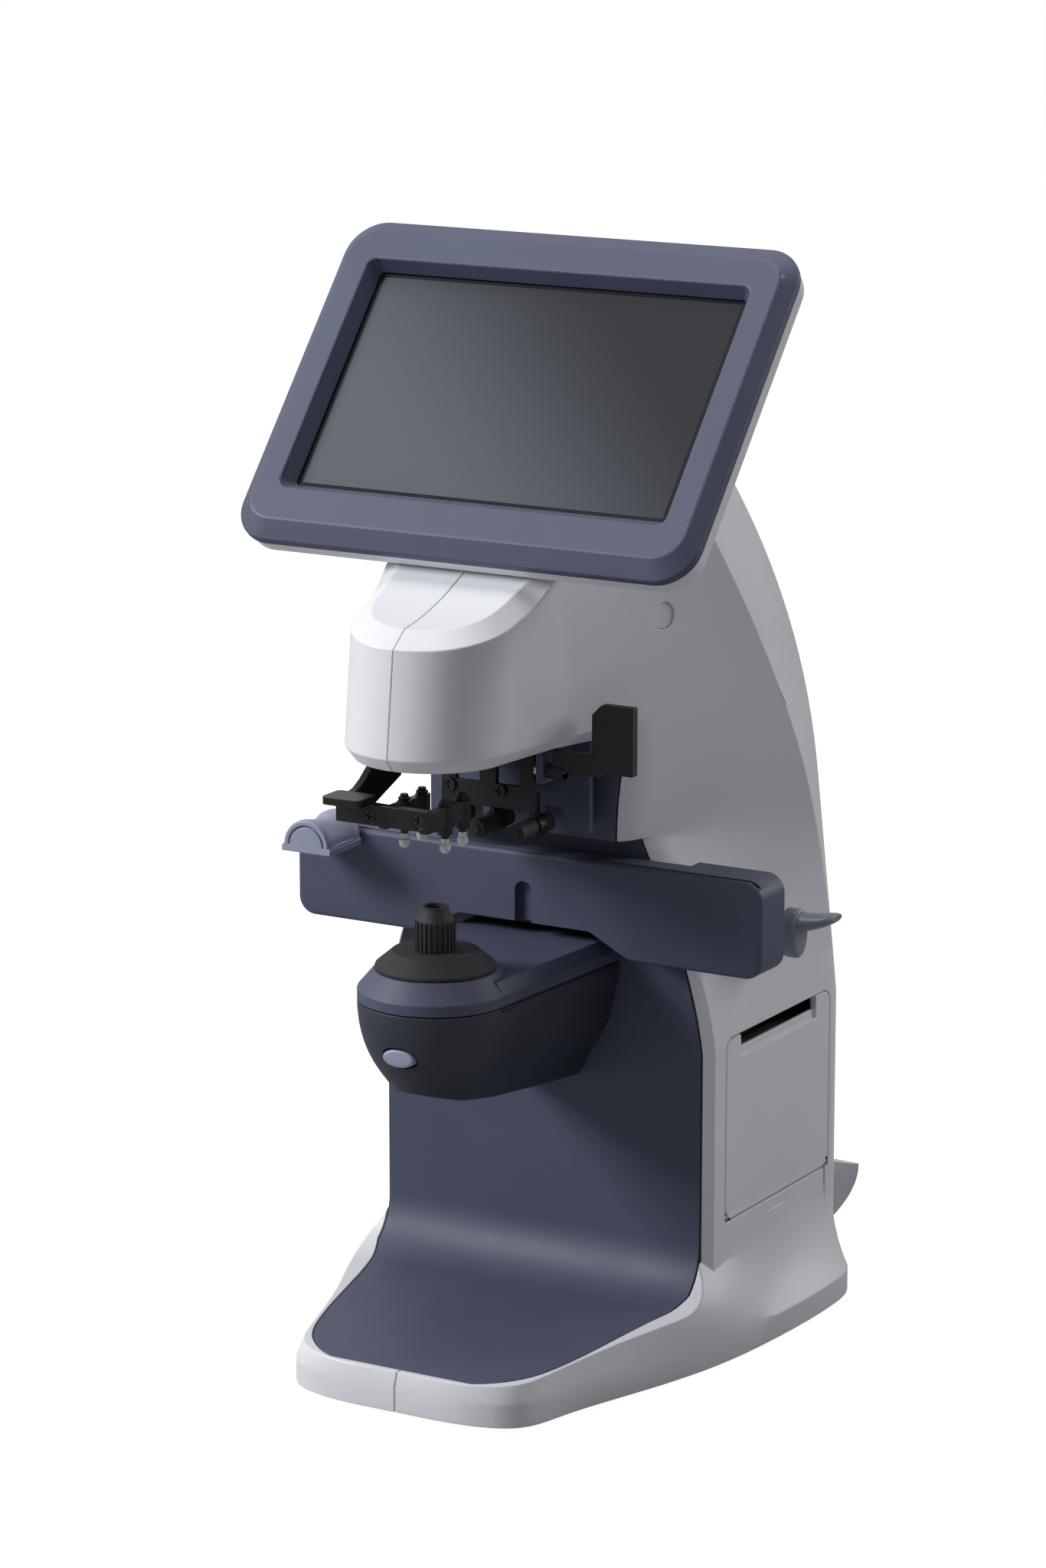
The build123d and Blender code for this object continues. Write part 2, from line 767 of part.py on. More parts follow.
def build_casing(pieces):
    """Two shells, the navy panel, base plate, feet, plugs and rear plate. Returns the uncut skin."""
    outer = casing_outer()
    shell = outer
    for part in hollow_parts():
        shell -= part
    skin = shell
    shell += both(plug_seat(0.0, 6.0, 8.0)) & outer
    shell -= both(plug_seat(2.0, 3.4, plug_radius + 0.15))
    shell -= panel_outline(-panel_overcut) & panel_sheet(-6.0, panel_thickness)
    shell -= panel_outline(ledge_width) & panel_sheet(0.0, panel_thickness + ledge_thickness + 1.0)
    shell -= rear_opening(0.0, rear_face - 4.0, depth_to_spine + 5.0)
    shell -= door_prism(0.0, column_half_width - 8.0, column_half_width + 8.0)
    hinge_x = column_half_width - wall / 2
    hinge_z = door_bottom + door_gap + wall / 2
    pin_ends = (door_front - 2.0, door_back + 2.0)
    shell -= bar_y(hinge_x, *pin_ends, hinge_z, door_pin_radius + running_gap)
    shell -= bar_x(lever_start - 20.0, lever_start + 10.0, lever_y, lever_z,
                   lever_shaft_radius + 0.4)
    axis = hinge_place()
    pocket = ear_edge + 1.5
    shell -= block((-pocket, pocket), (axis[0] - 11.0, axis[0] + 12.0), (axis[1] - 15.0, axis[1] + 20.0))
    arm_x = (-holder_arm_x - 1.0, -holder_arm_x + holder_arm_thickness + 1.0)
    floor = (head_bottom - 4.0, head_wall_bottom + 1.5)
    shell -= block(arm_x, (24.0, 46.0), floor)
    slot_x = (marker_stem_x - 3.7, marker_stem_x + 3.7)
    stem_back = marker_plate_y + 5.0
    shell -= both(block(slot_x, (pen_pivot_y - marker_travel - 8.0, stem_back), floor))
    shell -= bar_z(0, axis_y, head_bottom - 1.0, head_wall_bottom + 1.0, tube_radius + 0.5)
    shell -= block((-comb_left - 0.4, comb_right + 0.4), (comb_y - 0.4, comb_y + comb_thickness + 0.4), floor)
    big = 200.0
    half = seam_gap / 2
    pieces["left_shell"] = shell & block((-big, -half), (-big, 2 * big), (-big, 3 * big))
    pieces["right_shell"] = shell & block((half, big), (-big, 2 * big), (-big, 3 * big))

    panel = panel_outline(panel_gap) & panel_sheet(0.0, panel_thickness)
    opening_x = carriage_half_width + carriage_opening_gap
    opening_z = (carriage_bottom - carriage_opening_gap, carriage_top + carriage_opening_gap)
    through = (column_front - 4.0, column_front + 8.0)
    panel -= block((-opening_x, opening_x), through, opening_z)
    arm = lower_arm_half_width + 1.0
    arm_z = (lower_arm_bottom - 1.0, lower_arm_bottom + lower_arm_height + 1.0)
    panel -= block((-arm, arm), through, arm_z)
    pieces["front_panel"] = panel

    edge = skirt_wall + base_plate_gap
    pieces["base_plate"] = extrude(base_ring(0, edge), amount=base_plate_thickness)
    feet = [(x, y) for x in (-1, 1) for y in (0, 1)]
    places = [(s * lerp(34.0, 66.0, b), lerp(24.0, 192.0, b)) for s, b in feet]
    pieces["rubber_feet"] = [bar_z(x, y, -foot_height, 0.0, foot_radius) for x, y in places]
    pieces["side_plugs"] = both(plug_seat(-0.8, 3.2, plug_radius))

    tub = rear_opening(side_gap, rear_face, depth_to_spine + 5.0)
    tub -= rear_opening(side_gap + 2.0, rear_face + 2.5, depth_to_spine + 6.0)
    tub = tub & outer
    tub -= block(*inlet_box(0.3, rear_face - 1.0))
    tub -= block(*switch_box(0.3, rear_face - 1.0))
    tub -= block(*port_box(0.3, rear_face - 1.0))
    pieces["rear_plate"] = tub
    return skin


def around(x, z, width, height, gap, y0, y1):
    """Limits of a box centred on a place in the rear plate."""
    half_x, half_z = width / 2 + gap, height / 2 + gap
    return (x - half_x, x + half_x), (y0, y1), (z - half_z, z + half_z)


def inlet_box(gap, y0, y1=None):
    """Limits of the power inlet."""
    return around(inlet_x, inlet_z, inlet_width, inlet_height, gap, y0, y1 or rear_face + 4.0)


def switch_box(gap, y0, y1=None):
    """Limits of the power switch."""
    return around(switch_x, inlet_z, switch_width, switch_height, gap, y0, y1 or rear_face + 4.0)


def port_box(gap, y0, y1=None):
    """Limits of the communication port."""
    return around(port_x, inlet_z, port_width, port_height, gap, y0, y1 or rear_face + 4.0)


def build_connections(pieces):
    """Power inlet, rocker switch and communication port in the rear plate."""
    inlet = block(*inlet_box(0.0, rear_face - 18.0, rear_face + 2.5))
    inlet += block(*inlet_box(1.6, rear_face + 2.5, rear_face + 4.0))
    inlet -= block(*inlet_box(-3.0, rear_face - 14.0, rear_face + 6.0))
    for dx, dz in ((0.0, 3.2), (-6.5, -2.4), (6.5, -2.4)):
        pin = ((inlet_x + dx - 0.8, inlet_x + dx + 0.8), (rear_face - 14.5, rear_face))
        inlet += block(*pin, (inlet_z + dz - 2.0, inlet_z + dz + 2.0))
    pieces["power_inlet"] = inlet

    bezel = block(*switch_box(0.0, rear_face - 12.0, rear_face + 2.5))
    bezel += block(*switch_box(1.4, rear_face + 2.5, rear_face + 3.7))
    bezel -= block(*switch_box(-1.8, rear_face - 9.0, rear_face + 5.0))
    pivot_y = rear_face + 0.5
    bezel -= bar_x(switch_x - 6.0, switch_x + 6.0, pivot_y, inlet_z, 1.0 + running_gap)
    pieces["switch_body"] = bezel
    half_z = switch_height / 2 - 2.3
    half_x = switch_width / 2 - 2.3
    face = rear_face + 3.6
    profile = [
        (pivot_y - 2.5, inlet_z - 3.0),
        (face - 1.0, inlet_z - half_z),
        (face, inlet_z),
        (face + 2.0, inlet_z + half_z),
        (pivot_y - 2.5, inlet_z + 3.0),
    ]
    rocker = side_sheet(profile, switch_x - half_x, switch_x + half_x)
    rocker += bar_x(switch_x - half_x - 1.4, switch_x + half_x + 1.4, pivot_y, inlet_z, 1.0)
    pieces["power_rocker"] = rocker

    port = block(*port_box(0.0, rear_face - 9.0, rear_face + 3.6))
    port -= block(*port_box(-1.4, rear_face - 7.0, rear_face + 6.0))
    port += block(*port_box(-3.6, rear_face - 8.0, rear_face + 1.0))
    pieces["communication_port"] = port


def build_frame(pieces):
    """The C-shaped main frame and the boards beside it."""
    half = frame_half_width
    inner = half - frame_plate
    low = base_plate_thickness
    top = upper_arm_bottom + upper_arm_height
    y = (frame_front, frame_back)
    frame = both(block((inner, half), y, (low, top)))
    frame += block((-half, half), (frame_front, frame_front + frame_plate), (low, top))
    frame += block((-half, half), (frame_back - frame_plate, frame_back), (low, top))
    foot_x = (-frame_foot_half_width, frame_foot_half_width)
    frame += block(foot_x, y, (low, low + frame_plate))
    for z0, z1 in ((24.0, 100.0), (184.0, 246.0)):
        frame -= block((-half - 1, half + 1), (frame_front + 16.0, frame_back - 16.0), (z0, z1))
    frame -= block((-inner + 8.0, inner - 8.0), (frame_front - 1.0, frame_front + 8.0), (24.0, 100.0))
    frame -= block((-inner + 8.0, inner - 8.0), (frame_back - 8.0, frame_back + 1.0), (60.0, 240.0))
    opening = carriage_half_width + carriage_opening_gap
    arm_z = (carriage_bottom - carriage_opening_gap, carriage_top + carriage_opening_gap)
    frame -= block((-opening, opening), (frame_front - 1.0, frame_front + 8.0), arm_z)

    arm_front = marker_hanger_y
    arm = (-frame_arm_half_width, frame_arm_half_width)
    frame += block(arm, (arm_front, frame_back), (upper_arm_bottom, top))
    for y0 in (arm_front, marker_back_hanger_y):
        frame += block(arm, (y0, y0 + 4.0), (marker_rod_z - 5.0, upper_arm_bottom))
    rod_hole = marker_rod_radius + 0.02
    rod_end = marker_back_hanger_y + 5.0
    frame -= both(bar_y(marker_stem_x, arm_front - 1.0, rod_end, marker_rod_z, rod_hole))
    frame -= bar_z(0, axis_y, upper_arm_bottom - 1.0, top + 1.0, tube_radius)
    post = (-holder_arm_x - 2.5, -frame_arm_half_width)
    frame += block(post, (holder_rod_y + 5.4, holder_rod_y + 10.0), (upper_arm_bottom, holder_post_top))
    frame += block(post, (holder_rod_y - 4.0, holder_rod_y + 10.0), (holder_post_top - 4.0, holder_post_top))
    rod_x = -holder_arm_x + holder_arm_thickness / 2
    frame -= bar_z(rod_x, holder_rod_y, holder_post_top - 5.0, holder_post_top + 1.0, holder_rod_radius)

    lower = (-lower_arm_half_width, lower_arm_half_width)
    lower_z = (lower_arm_bottom, lower_arm_bottom + lower_arm_height)
    frame += block(lower, (lower_arm_front, frame_front + 1.0), lower_z)
    frame -= bar_z(0, axis_y, lower_arm_bottom - 1.0, lower_z[1] + 1.0, sensor_radius - 4.0)
    frame -= both(bar_y(table_rod_x, frame_front - 1.0, frame_back + 1.0,
                        (carriage_bottom + carriage_top) / 2, table_rod_radius))
    frame -= bar_x(inner - 1.0, half + 1.0, lever_y, lever_z, lever_shaft_radius + running_gap)
    pieces["main_frame"] = frame

    rod_z = (carriage_bottom + carriage_top) / 2
    rods = both(bar_y(table_rod_x, frame_front - 2.0, frame_back + 2.0, rod_z, table_rod_radius))
    pieces["table_rods"] = rods
    rods = both(bar_y(marker_stem_x, arm_front - 0.5, rod_end, marker_rod_z, marker_rod_radius))
    rods += bar_z(rod_x, holder_rod_y, head_bottom + wall + 0.5, holder_post_top, holder_rod_radius)
    pieces["head_rods"] = rods

    board_x = -frame_half_width - 8.0
    board = block((board_x, board_x + 1.6), (frame_front + 8.0, frame_back - 8.0), (110.0, 186.0))
    for z in (122.0, 174.0):
        for y0 in (frame_front + 12.0, frame_back - 16.0):
            board += block((board_x + 1.6, -frame_half_width), (y0, y0 + 4.0), (z, z + 4.0))
    for z, y0 in ((134.0, 140.0), (152.0, 160.0), (136.0, 168.0)):
        board += block((board_x - 3.0, board_x), (y0, y0 + 14.0), (z, z + 12.0))
    pieces["main_board"] = board
    supply = block((-62.0, -frame_half_width - 4.0), (frame_front + 10.0, frame_back - 6.0), (14.0, 84.0))
    for y0 in (frame_front + 14.0, frame_back - 20.0):
        foot_x = (-62.0, -frame_foot_half_width - 2.0)
        supply += block(foot_x, (y0, y0 + 8.0), (base_plate_thickness, 14.0))
    pieces["power_supply"] = supply


def build_optics(pieces):
    """Lamp with its tube and lens in the head, glass and sensor in the lower housing."""
    top = upper_arm_bottom + upper_arm_height
    tube = bar_z(0, axis_y, tube_bottom, top, tube_radius - 0.02)
    lamp = bar_z(0, axis_y, top, top + lamp_height, lamp_radius)
    for i in range(4):
        z = top + 6.0 + 3.0 * i
        ring = bar_z(0, axis_y, z, z + 1.2, lamp_radius + 1.0)
        lamp -= ring - bar_z(0, axis_y, z, z + 1.2, lamp_radius - 1.6)
    lamp = tube + lamp
    lamp -= bar_z(0, axis_y, tube_bottom - 1.0, top + 6.0, tube_radius - tube_wall)
    pieces["lamp_unit"] = lamp
    lens_radius = tube_radius - tube_wall - 0.02
    ball = Pos(0, axis_y, tube_bottom + 1.0 + 14.0) * Sphere(14.0)
    lens = bar_z(0, axis_y, tube_bottom + 1.0, tube_bottom + 4.2, lens_radius) & ball
    pieces["collimator_lens"] = lens
    floor = lower_arm_bottom + lower_arm_height
    sensor = bar_z(0, axis_y, floor, floor + sensor_height, sensor_radius)
    sensor -= bar_z(0, axis_y, floor + 3.0, floor + sensor_height + 1.0, sensor_radius - 3.0)
    pieces["sensor_unit"] = sensor


def housing_plan(z, radius, back_half_width, centre_y=None, back=None):
    """Plan section of the lower housing: a round nose and straight sides."""
    yc = axis_y if centre_y is None else centre_y
    end = column_front if back is None else back
    return Pos(0, 0, z) * make_face([
        ThreePointArc((-radius, yc), (0, yc - radius), (radius, yc)),
        Polyline((radius, yc), (back_half_width, end), (-back_half_width, end), (-radius, yc)),
    ])


def bowl(inset, top, lift, end):
    """The lower cover's outer or inner form, with its belly line lifted."""
    rows = [
        (0.0, 0.0, 0.0),
        (8.5, 0.7, 0.7),
        (15.5, 2.4, 2.2),
        (22.0, 5.2, 3.8),
        (28.0, 9.0, 6.6),
        (37.5, 16.0, 12.5),
        (48.5, 25.0, 23.0),
    ]
    sections = []
    for drop, nose_in, back_in in rows:
        radius = nose_housing_radius - nose_in - inset
        back_x = nose_housing_back - back_in - inset
        sections.append(housing_plan(top - drop, radius, back_x, back=end))
    belly = [(y, z + lift) for y, z in ((-20.0, 121.5), (8.0, 119.0), (29.5, 112.6), (50.0, 108.7),
                                        (77.0, 106.0), (column_front + 8.0, 102.7))]
    floor = side_sheet(belly + [(column_front + 8.0, 80.0), (-20.0, 80.0)], -60.0, 60.0)
    return loft(sections) - floor


def oval(gap, y0, y1):
    """The memory button's oval outline, between two Y positions."""
    sketch = Ellipse(button_width / 2 + gap, button_height / 2 + gap)
    plane = Plane(origin=(0, y0, button_z), x_dir=(1, 0, 0), z_dir=(0, 1, 0))
    return extrude(plane * sketch, amount=y1 - y0)


def build_lower_housing(pieces):
    """Top cover, lower cover, memory button and its switch."""
    seam = housing_seam
    end = column_front - 0.2
    cover = bowl(0.0, seam, 0.0, end)
    cover -= bowl(lower_wall, seam + 0.01, lower_wall, end + 1.0)
    cover -= oval(button_gap, -5.0, button_front + 12.0)
    pieces["lower_cover"] = cover

    low = seam + housing_joint
    deck = extrude(housing_plan(low, nose_housing_radius, nose_housing_back, back=end),
                   amount=deck_side_top - low)
    top_radius = nose_housing_radius - deck_chamfer
    slope = loft([
        housing_plan(deck_side_top, nose_housing_radius, nose_housing_back, back=end),
        housing_plan(deck_top, top_radius, nose_housing_back - deck_chamfer, back=end),
    ])
    slope = slope & block((-60, 60), (axis_y, 200), (0, 400))
    cone = turned([(0, deck_side_top), (nose_housing_radius, deck_side_top), (cone_top_radius, cone_top),
                   (0, cone_top)], 0, axis_y)
    deck += slope + cone
    inner_radius = nose_housing_radius - lower_wall
    hollow = extrude(housing_plan(low - 1.0, inner_radius, nose_housing_back - lower_wall, back=end + 1.0),
                     amount=deck_side_top - low + 1.0 - 0.6)
    room = loft([
        housing_plan(deck_side_top - 0.61, inner_radius - 1.0, nose_housing_back - lower_wall - 1.0,
                     back=end + 1.0),
        housing_plan(deck_top - lower_wall, top_radius - 2.6, nose_housing_back - deck_chamfer - 2.6,
                     back=end + 1.0),
    ])
    deck -= hollow + room
    deck -= bar_z(0, axis_y, seam, cone_top + 1.0, spigot_radius + 0.1)
    pieces["top_cover"] = deck

    button = oval(0.0, button_front, button_front + button_depth)
    button = fillet([e for e in button.edges() if e.center().Y < button_front + 0.1], button_round)
    stem_end = button_front + button_depth + 3.0
    button += bar_y(0, button_front + 2.0, stem_end, button_z, 2.0)
    pieces["memory_button"] = button
    gap = button_travel + 0.3
    switch_y = (stem_end + gap, axis_y - sensor_radius - 0.5)
    switch = block((-4.0, 4.0), switch_y, (button_z - 5.0, button_z + 4.0))
    switch += block((-4.0, 4.0), (switch_y[0] + 1.0, lower_arm_front), (button_z - 5.0, button_z - 2.0))
    pieces["button_switch"] = switch


def build_nosepiece(pieces):
    """Cone-shaped flange with its spigot, the glass in it and the ribbed nosepiece."""
    base = cone_top + 0.2
    top = base + flange_height
    flange = turned([
        (spigot_radius - 1.4, base - 4.0),
        (spigot_radius, base - 4.0),
        (spigot_radius, base),
        (flange_radius, base),
        (flange_radius, base + flange_rim),
        (flange_top_radius, top),
        (spigot_radius, top),
        (spigot_radius, top + spigot_height),
        (spigot_radius - 1.4, top + spigot_height),
    ], 0, axis_y)
    pieces["nosepiece_flange"] = flange
    glass_radius = spigot_radius - 1.42
    glass_top = top + spigot_height - 0.6
    pieces["protective_glass"] = bar_z(0, axis_y, glass_top - 1.2, glass_top, glass_radius)

    low = top + 0.05
    rib_top = low + nosepiece_rib_height
    bore = spigot_radius + running_gap
    body = turned([
        (bore, low),
        (nosepiece_radius, low),
        (nosepiece_radius, rib_top),
        (nosepiece_rim_radius, rib_top + nosepiece_shoulder),
        (nosepiece_rim_radius, nosepiece_top),
        (nosepiece_bore_radius, nosepiece_top),
        (nosepiece_bore_radius, top + spigot_height + 0.6),
        (bore, top + spigot_height + 0.4),
    ], 0, axis_y)
    rib_width = 2 * pi * nosepiece_radius / nosepiece_ribs / 2
    rib = block((nosepiece_radius - 0.5, nosepiece_radius + nosepiece_rib),
                (-rib_width / 2, rib_width / 2), (low, rib_top))
    ribs = [Pos(0, axis_y, 0) * Rot(0, 0, 360 * i / nosepiece_ribs) * rib for i in range(nosepiece_ribs)]
    pieces["nosepiece"] = body + ribs


def build_table(pieces):
    """Lens table: bar with cut-out, sight groove and rail, and the carriage behind it."""
    half = table_half_width
    width, height = 2 * half, table_top - table_bottom
    middle_z = (table_top + table_bottom) / 2
    plane = Plane(origin=(0, table_front, middle_z), x_dir=(1, 0, 0), z_dir=(0, 1, 0))
    bar = extrude(plane * RectangleRounded(width, height, table_corner), amount=table_depth)
    edges = [e for e in bar.edges() if e.center().Y < table_front + 0.1]
    bar = fillet(edges, table_edge_round)
    back = table_front + table_middle_depth
    middle = (-table_middle_half_width, table_middle_half_width)
    bar -= block(middle, (back, table_front + table_depth + 1.0), (0, 400))
    high = table_bottom + cutout_height
    cutout = [
        (-cutout_low_half_width, table_bottom), (-cutout_high_half_width, high),
        (cutout_high_half_width, high), (cutout_low_half_width, table_bottom),
        (cutout_low_half_width, table_bottom - 2.0), (-cutout_low_half_width, table_bottom - 2.0),
    ]
    bar -= front_sheet(cutout, table_front - 1.0, table_front + table_depth + 1.0)
    groove = sight_groove_width / 2
    deep = (table_front - 1.0, table_front + sight_groove_depth)
    bar -= block((-groove, groove), deep, (high - 1.0, sight_groove_top - groove))
    bar -= bar_y(0, *deep, sight_groove_top - groove, groove)
    hollow_front = table_front + table_wall + 1.0
    side_room = (table_middle_half_width + table_wall, half - table_wall)
    room_z = (table_bottom + table_wall, table_top - rail_groove_depth - table_wall)
    bar -= both(block(side_room, (hollow_front, table_front + table_depth + 1.0), room_z))
    room_x = (cutout_low_half_width + 2.0, table_middle_half_width - 2.0)
    bar -= both(block(room_x, (hollow_front, back + 1.0), room_z))
    rail_y = table_front + rail_width
    bar -= block((-half + 2.0, half - 2.0), (rail_y, rail_y + rail_groove_width),
                 (table_top - rail_groove_depth, table_top + 1.0))
    pieces["table_bar"] = bar

    arm_x = (-carriage_half_width, carriage_half_width)
    arm_z = (carriage_bottom, carriage_top)
    tail = frame_front + frame_plate + table_travel + 1.0
    carriage = block(arm_x, (back, tail + 20.0), arm_z)
    block_half = frame_half_width - frame_plate - 0.5
    rod_z = (carriage_bottom + carriage_top) / 2
    carriage += block((-block_half, block_half), (tail, tail + 22.0), (rod_z - 8.0, rod_z + 8.0))
    carriage -= both(bar_y(table_rod_x, tail - 1.0, tail + 23.0, rod_z, table_rod_radius + running_gap))
    pad = block((-carriage_half_width - 3.0, carriage_half_width + 3.0), (back, back + 1.5),
                (carriage_bottom + 1.0, carriage_top + 10.0))
    bracket = [(-20.0, high - 1.6), (-14.0, high + 4.6), (12.0, high + 4.6), (18.0, high - 1.6)]
    shade = front_sheet(bracket, table_front + 6.0, back)
    bar_room = block((-22.0, 22.0), (table_front + 5.6, back + 1.0), (high - 4.0, high + 5.0))
    pieces["table_bar"] = pieces["table_bar"] - bar_room
    pieces["table_carriage"] = carriage + pad + shade


def build_slider(pieces):
    """Saddle for the frame's nose pads, hooked over the rail on the table."""
    plate_top = slider_plate_bottom + slider_plate_thickness
    back = table_front - 0.3
    depth = back - slider_front
    rim, waist = slider_radius, slider_radius - slider_waist
    rows = [(0.0, rim - 0.4), (1.2, rim), (2.6, rim), (0.45 * depth, waist), (0.7 * depth, waist),
            (depth - 2.6, rim), (depth, rim)]
    curve = Spline(*[(r, y, 0) for y, r in rows[2:6]])
    ends = [(0, 0, 0)] + [(r, y, 0) for y, r in rows[:3]]
    tail = [(rows[5][1], rows[5][0], 0), (rim, depth, 0), (0, depth, 0), (0, 0, 0)]
    saddle = revolve(make_face([Polyline(*ends), curve, Polyline(*tail)]), axis=Axis.Y)
    saddle = Pos(slider_x, slider_front, plate_top) * saddle
    saddle = saddle & block((slider_x - 20, slider_x + 20), (0, 200), (plate_top, 300))
    sides = (slider_x - slider_half_width, slider_x + slider_half_width)
    slider = saddle + block(sides, (slider_front, back), (slider_plate_bottom, plate_top))
    step = 0.7
    seam_z = plate_top - 0.2
    for x in (sides[0] - 0.1, sides[1] - step):
        slider -= block((x, x + step + 0.1), (slider_front - 1, back - 3.0), (seam_z, seam_z + 0.5))
    ring = bar_y(slider_x, slider_front - 1.0, slider_front + 0.9, plate_top, slider_cap_radius + 0.7)
    ring -= bar_y(slider_x, slider_front - 2.0, slider_front + 1.2, plate_top, slider_cap_radius)
    slider -= ring & block((slider_x - 20, slider_x + 20), (0, 200), (plate_top, 300))
    gap = 0.3
    lip = (table_front + rail_width + gap, table_front + rail_width + rail_groove_width - gap)
    hook_z = (table_top + gap, table_top + gap + slider_hook_thickness)
    hook_x = (slider_x - 8.0, slider_x + 8.0)
    slider += block(hook_x, (back - 3.0, lip[1]), hook_z)
    slider += block(hook_x, lip, (table_top - rail_groove_depth + gap + 0.2, hook_z[1]))
    pieces["nose_pad_slider"] = slider


def build_table_lever(pieces):
    """Finger lever on the right side, its shaft and the crank inside."""
    centre = (lever_y, lever_z)
    barrel = bar_x(lever_start, lever_face_start, *centre, lever_barrel_radius)
    plane = Plane.YZ * Pos(*centre, 0)
    face = extrude(Pos(lever_face_start, 0, 0) * (plane * Ellipse(lever_half_depth, lever_half_height)),
                   amount=lever_face_end - lever_face_start)
    face = fillet(face.edges(), 1.6)
    top = lever_z + 0.45 * lever_half_height
    rows = [
        (lever_face_start - 0.5, lever_y, top, 6.0, 3.8),
        (lever_face_end - 1.0, lever_y + 1.5, top - 0.2, 6.2, 3.6),
        (lever_face_end + 4.0, lever_y + 4.0, top, 6.6, 3.0),
        (lever_face_end + 8.4, lever_y + 6.6, top + 0.8, 6.2, 2.3),
        (lever_face_end + 11.0, lever_y + 8.2, top + 1.3, 3.8, 1.3),
    ]
    wing = loft([Pos(x, 0, 0) * (Plane.YZ * Pos(y, z) * Ellipse(a, b)) for x, y, z, a, b in rows])
    lever = barrel + face + wing
    lever -= bar_x(lever_start - 1.0, lever_start + 8.0, *centre, lever_shaft_radius)
    pieces["table_lever"] = lever
    inner = frame_half_width + 2.0
    end = frame_half_width - frame_plate + 0.3
    shaft = bar_x(end, lever_start + 8.0, *centre, lever_shaft_radius)
    shaft += bar_x(inner, inner + 4.0, *centre, lever_shaft_radius + 3.0)
    crank_y = (lever_y - 3.0, lever_y + 3.0)
    crank = block((inner, inner + 4.0), crank_y, (lever_z, lever_z + lever_crank_length))
    crank += bar_x(inner, inner + 4.0, lever_y, lever_z + lever_crank_length, 3.0)
    pieces["lever_shaft"] = shaft + crank


def screw(place, direction, length=3.0):
    """Countersunk screw with a cross recess, its head flush with the place."""
    plane = Plane(origin=place, z_dir=direction)
    body = extrude(plane * Circle(screw_radius), amount=-1.0)
    body += extrude(plane * Circle(screw_radius * 0.5), amount=-length)
    for turn in (0, 90):
        body -= extrude(plane * Rot(0, 0, turn) * Rectangle(0.7, screw_radius * 1.1), amount=-0.7)
    return body


def build_holder(pieces):
    """Lens holder: arm in the head, bar with tab and legs, and four sprung pins."""
    left = -holder_arm_x
    right = left + holder_arm_thickness
    boss_z = (holder_arm_top - holder_boss_height, holder_arm_top)
    outline = [
        (holder_front + holder_thickness, holder_bottom), (18.0, holder_bottom), (26.0, 220.2),
        (44.0, 227.0), (44.0, boss_z[0]), (47.0, boss_z[0]), (47.0, boss_z[1]), (27.0, boss_z[1]),
        (27.0, 236.0), (19.3, 230.2), (14.7, 227.8), (holder_front + holder_thickness, 227.0),
    ]
    arm = side_sheet(outline, left, right)
    rod_x = left + holder_arm_thickness / 2
    arm += bar_z(rod_x, holder_rod_y, *boss_z, holder_boss_radius)
    arm -= bar_z(rod_x, holder_rod_y, boss_z[0] - 1.0, boss_z[1] + 1.0, holder_rod_radius + running_gap)
    pieces["holder_arm"] = arm

    bar_y_limits = (holder_front, holder_front + holder_thickness)
    bar = block((-holder_left, holder_right), bar_y_limits, (holder_bottom, holder_top))
    tab_z = (holder_top, holder_top + tab_thickness)
    tab = block((-holder_left - 0.6, -12.0), (holder_front - 9.0, holder_front + holder_thickness), tab_z)
    tab = fillet(tab.edges().filter_by(Axis.Z), 2.0)
    bar += tab
    leg_z = (holder_bottom - 1.0, holder_top - 1.4)
    centres = [pin_centre_y - pin_spacing_y / 2, pin_centre_y + pin_spacing_y / 2]
    leg_back = centres[1] + pin_boss_radius + 0.6
    for side in (-1, 1):
        x = side * pin_x
        bar += block((x - leg_half_width, x + leg_half_width), (holder_front + 1.0, leg_back), leg_z)
        for y in centres:
            bar += bar_z(x, y, pin_boss_bottom, leg_z[1], pin_boss_radius)
    hole = pin_radius + running_gap
    for side in (-1, 1):
        for y in centres:
            bar -= bar_z(side * pin_x, y, pin_boss_bottom - 1.0, leg_z[1] + 1.0, hole)
    screw_places = [(-pen_pitch + 3.5, holder_front, 220.6), (pin_x - 1.6, holder_front, 221.0)]
    for x, y, z in screw_places:
        bar -= bar_y(x, y - 1.0, y + 1.15, z, screw_radius + 0.1)
        bar -= bar_y(x, y, y + holder_thickness + 0.1, z, screw_radius * 0.5 + 0.05)
    pieces["holder_bar"] = bar
    heads = [screw((x, y + 0.1, z), (0, -1, 0), holder_thickness - 0.2) for x, y, z in screw_places]
    pieces["holder_screws"] = heads

    number = 0
    for y in centres:
        for side in (-1, 1):
            number += 1
            x = side * pin_x
            low = pin_tip_bottom + 2.0
            core_top = pin_tip_bottom + pin_neck_height
            pin = bar_z(x, y, core_top, leg_z[1] + 2.6, pin_radius)
            pin += bar_z(x, y, low, core_top, pin_core_radius)
            pin += bar_z(x, y, leg_z[1] + 0.3, leg_z[1] + 1.4, pin_radius + 0.7)
            pieces[f"pin_{number}"] = pin
            tip = bar_z(x, y, pin_tip_bottom + 1.4, pin_tip_bottom + pin_tip_height, pin_tip_radius)
            tip += Pos(x, y, pin_tip_bottom + 1.8) * Sphere(1.8)
            tip += bar_z(x, y, low, core_top, pin_radius - running_gap)
            tip -= bar_z(x, y, low, core_top + 1.0, pin_core_radius)
            pieces[f"pin_tip_{number}"] = tip


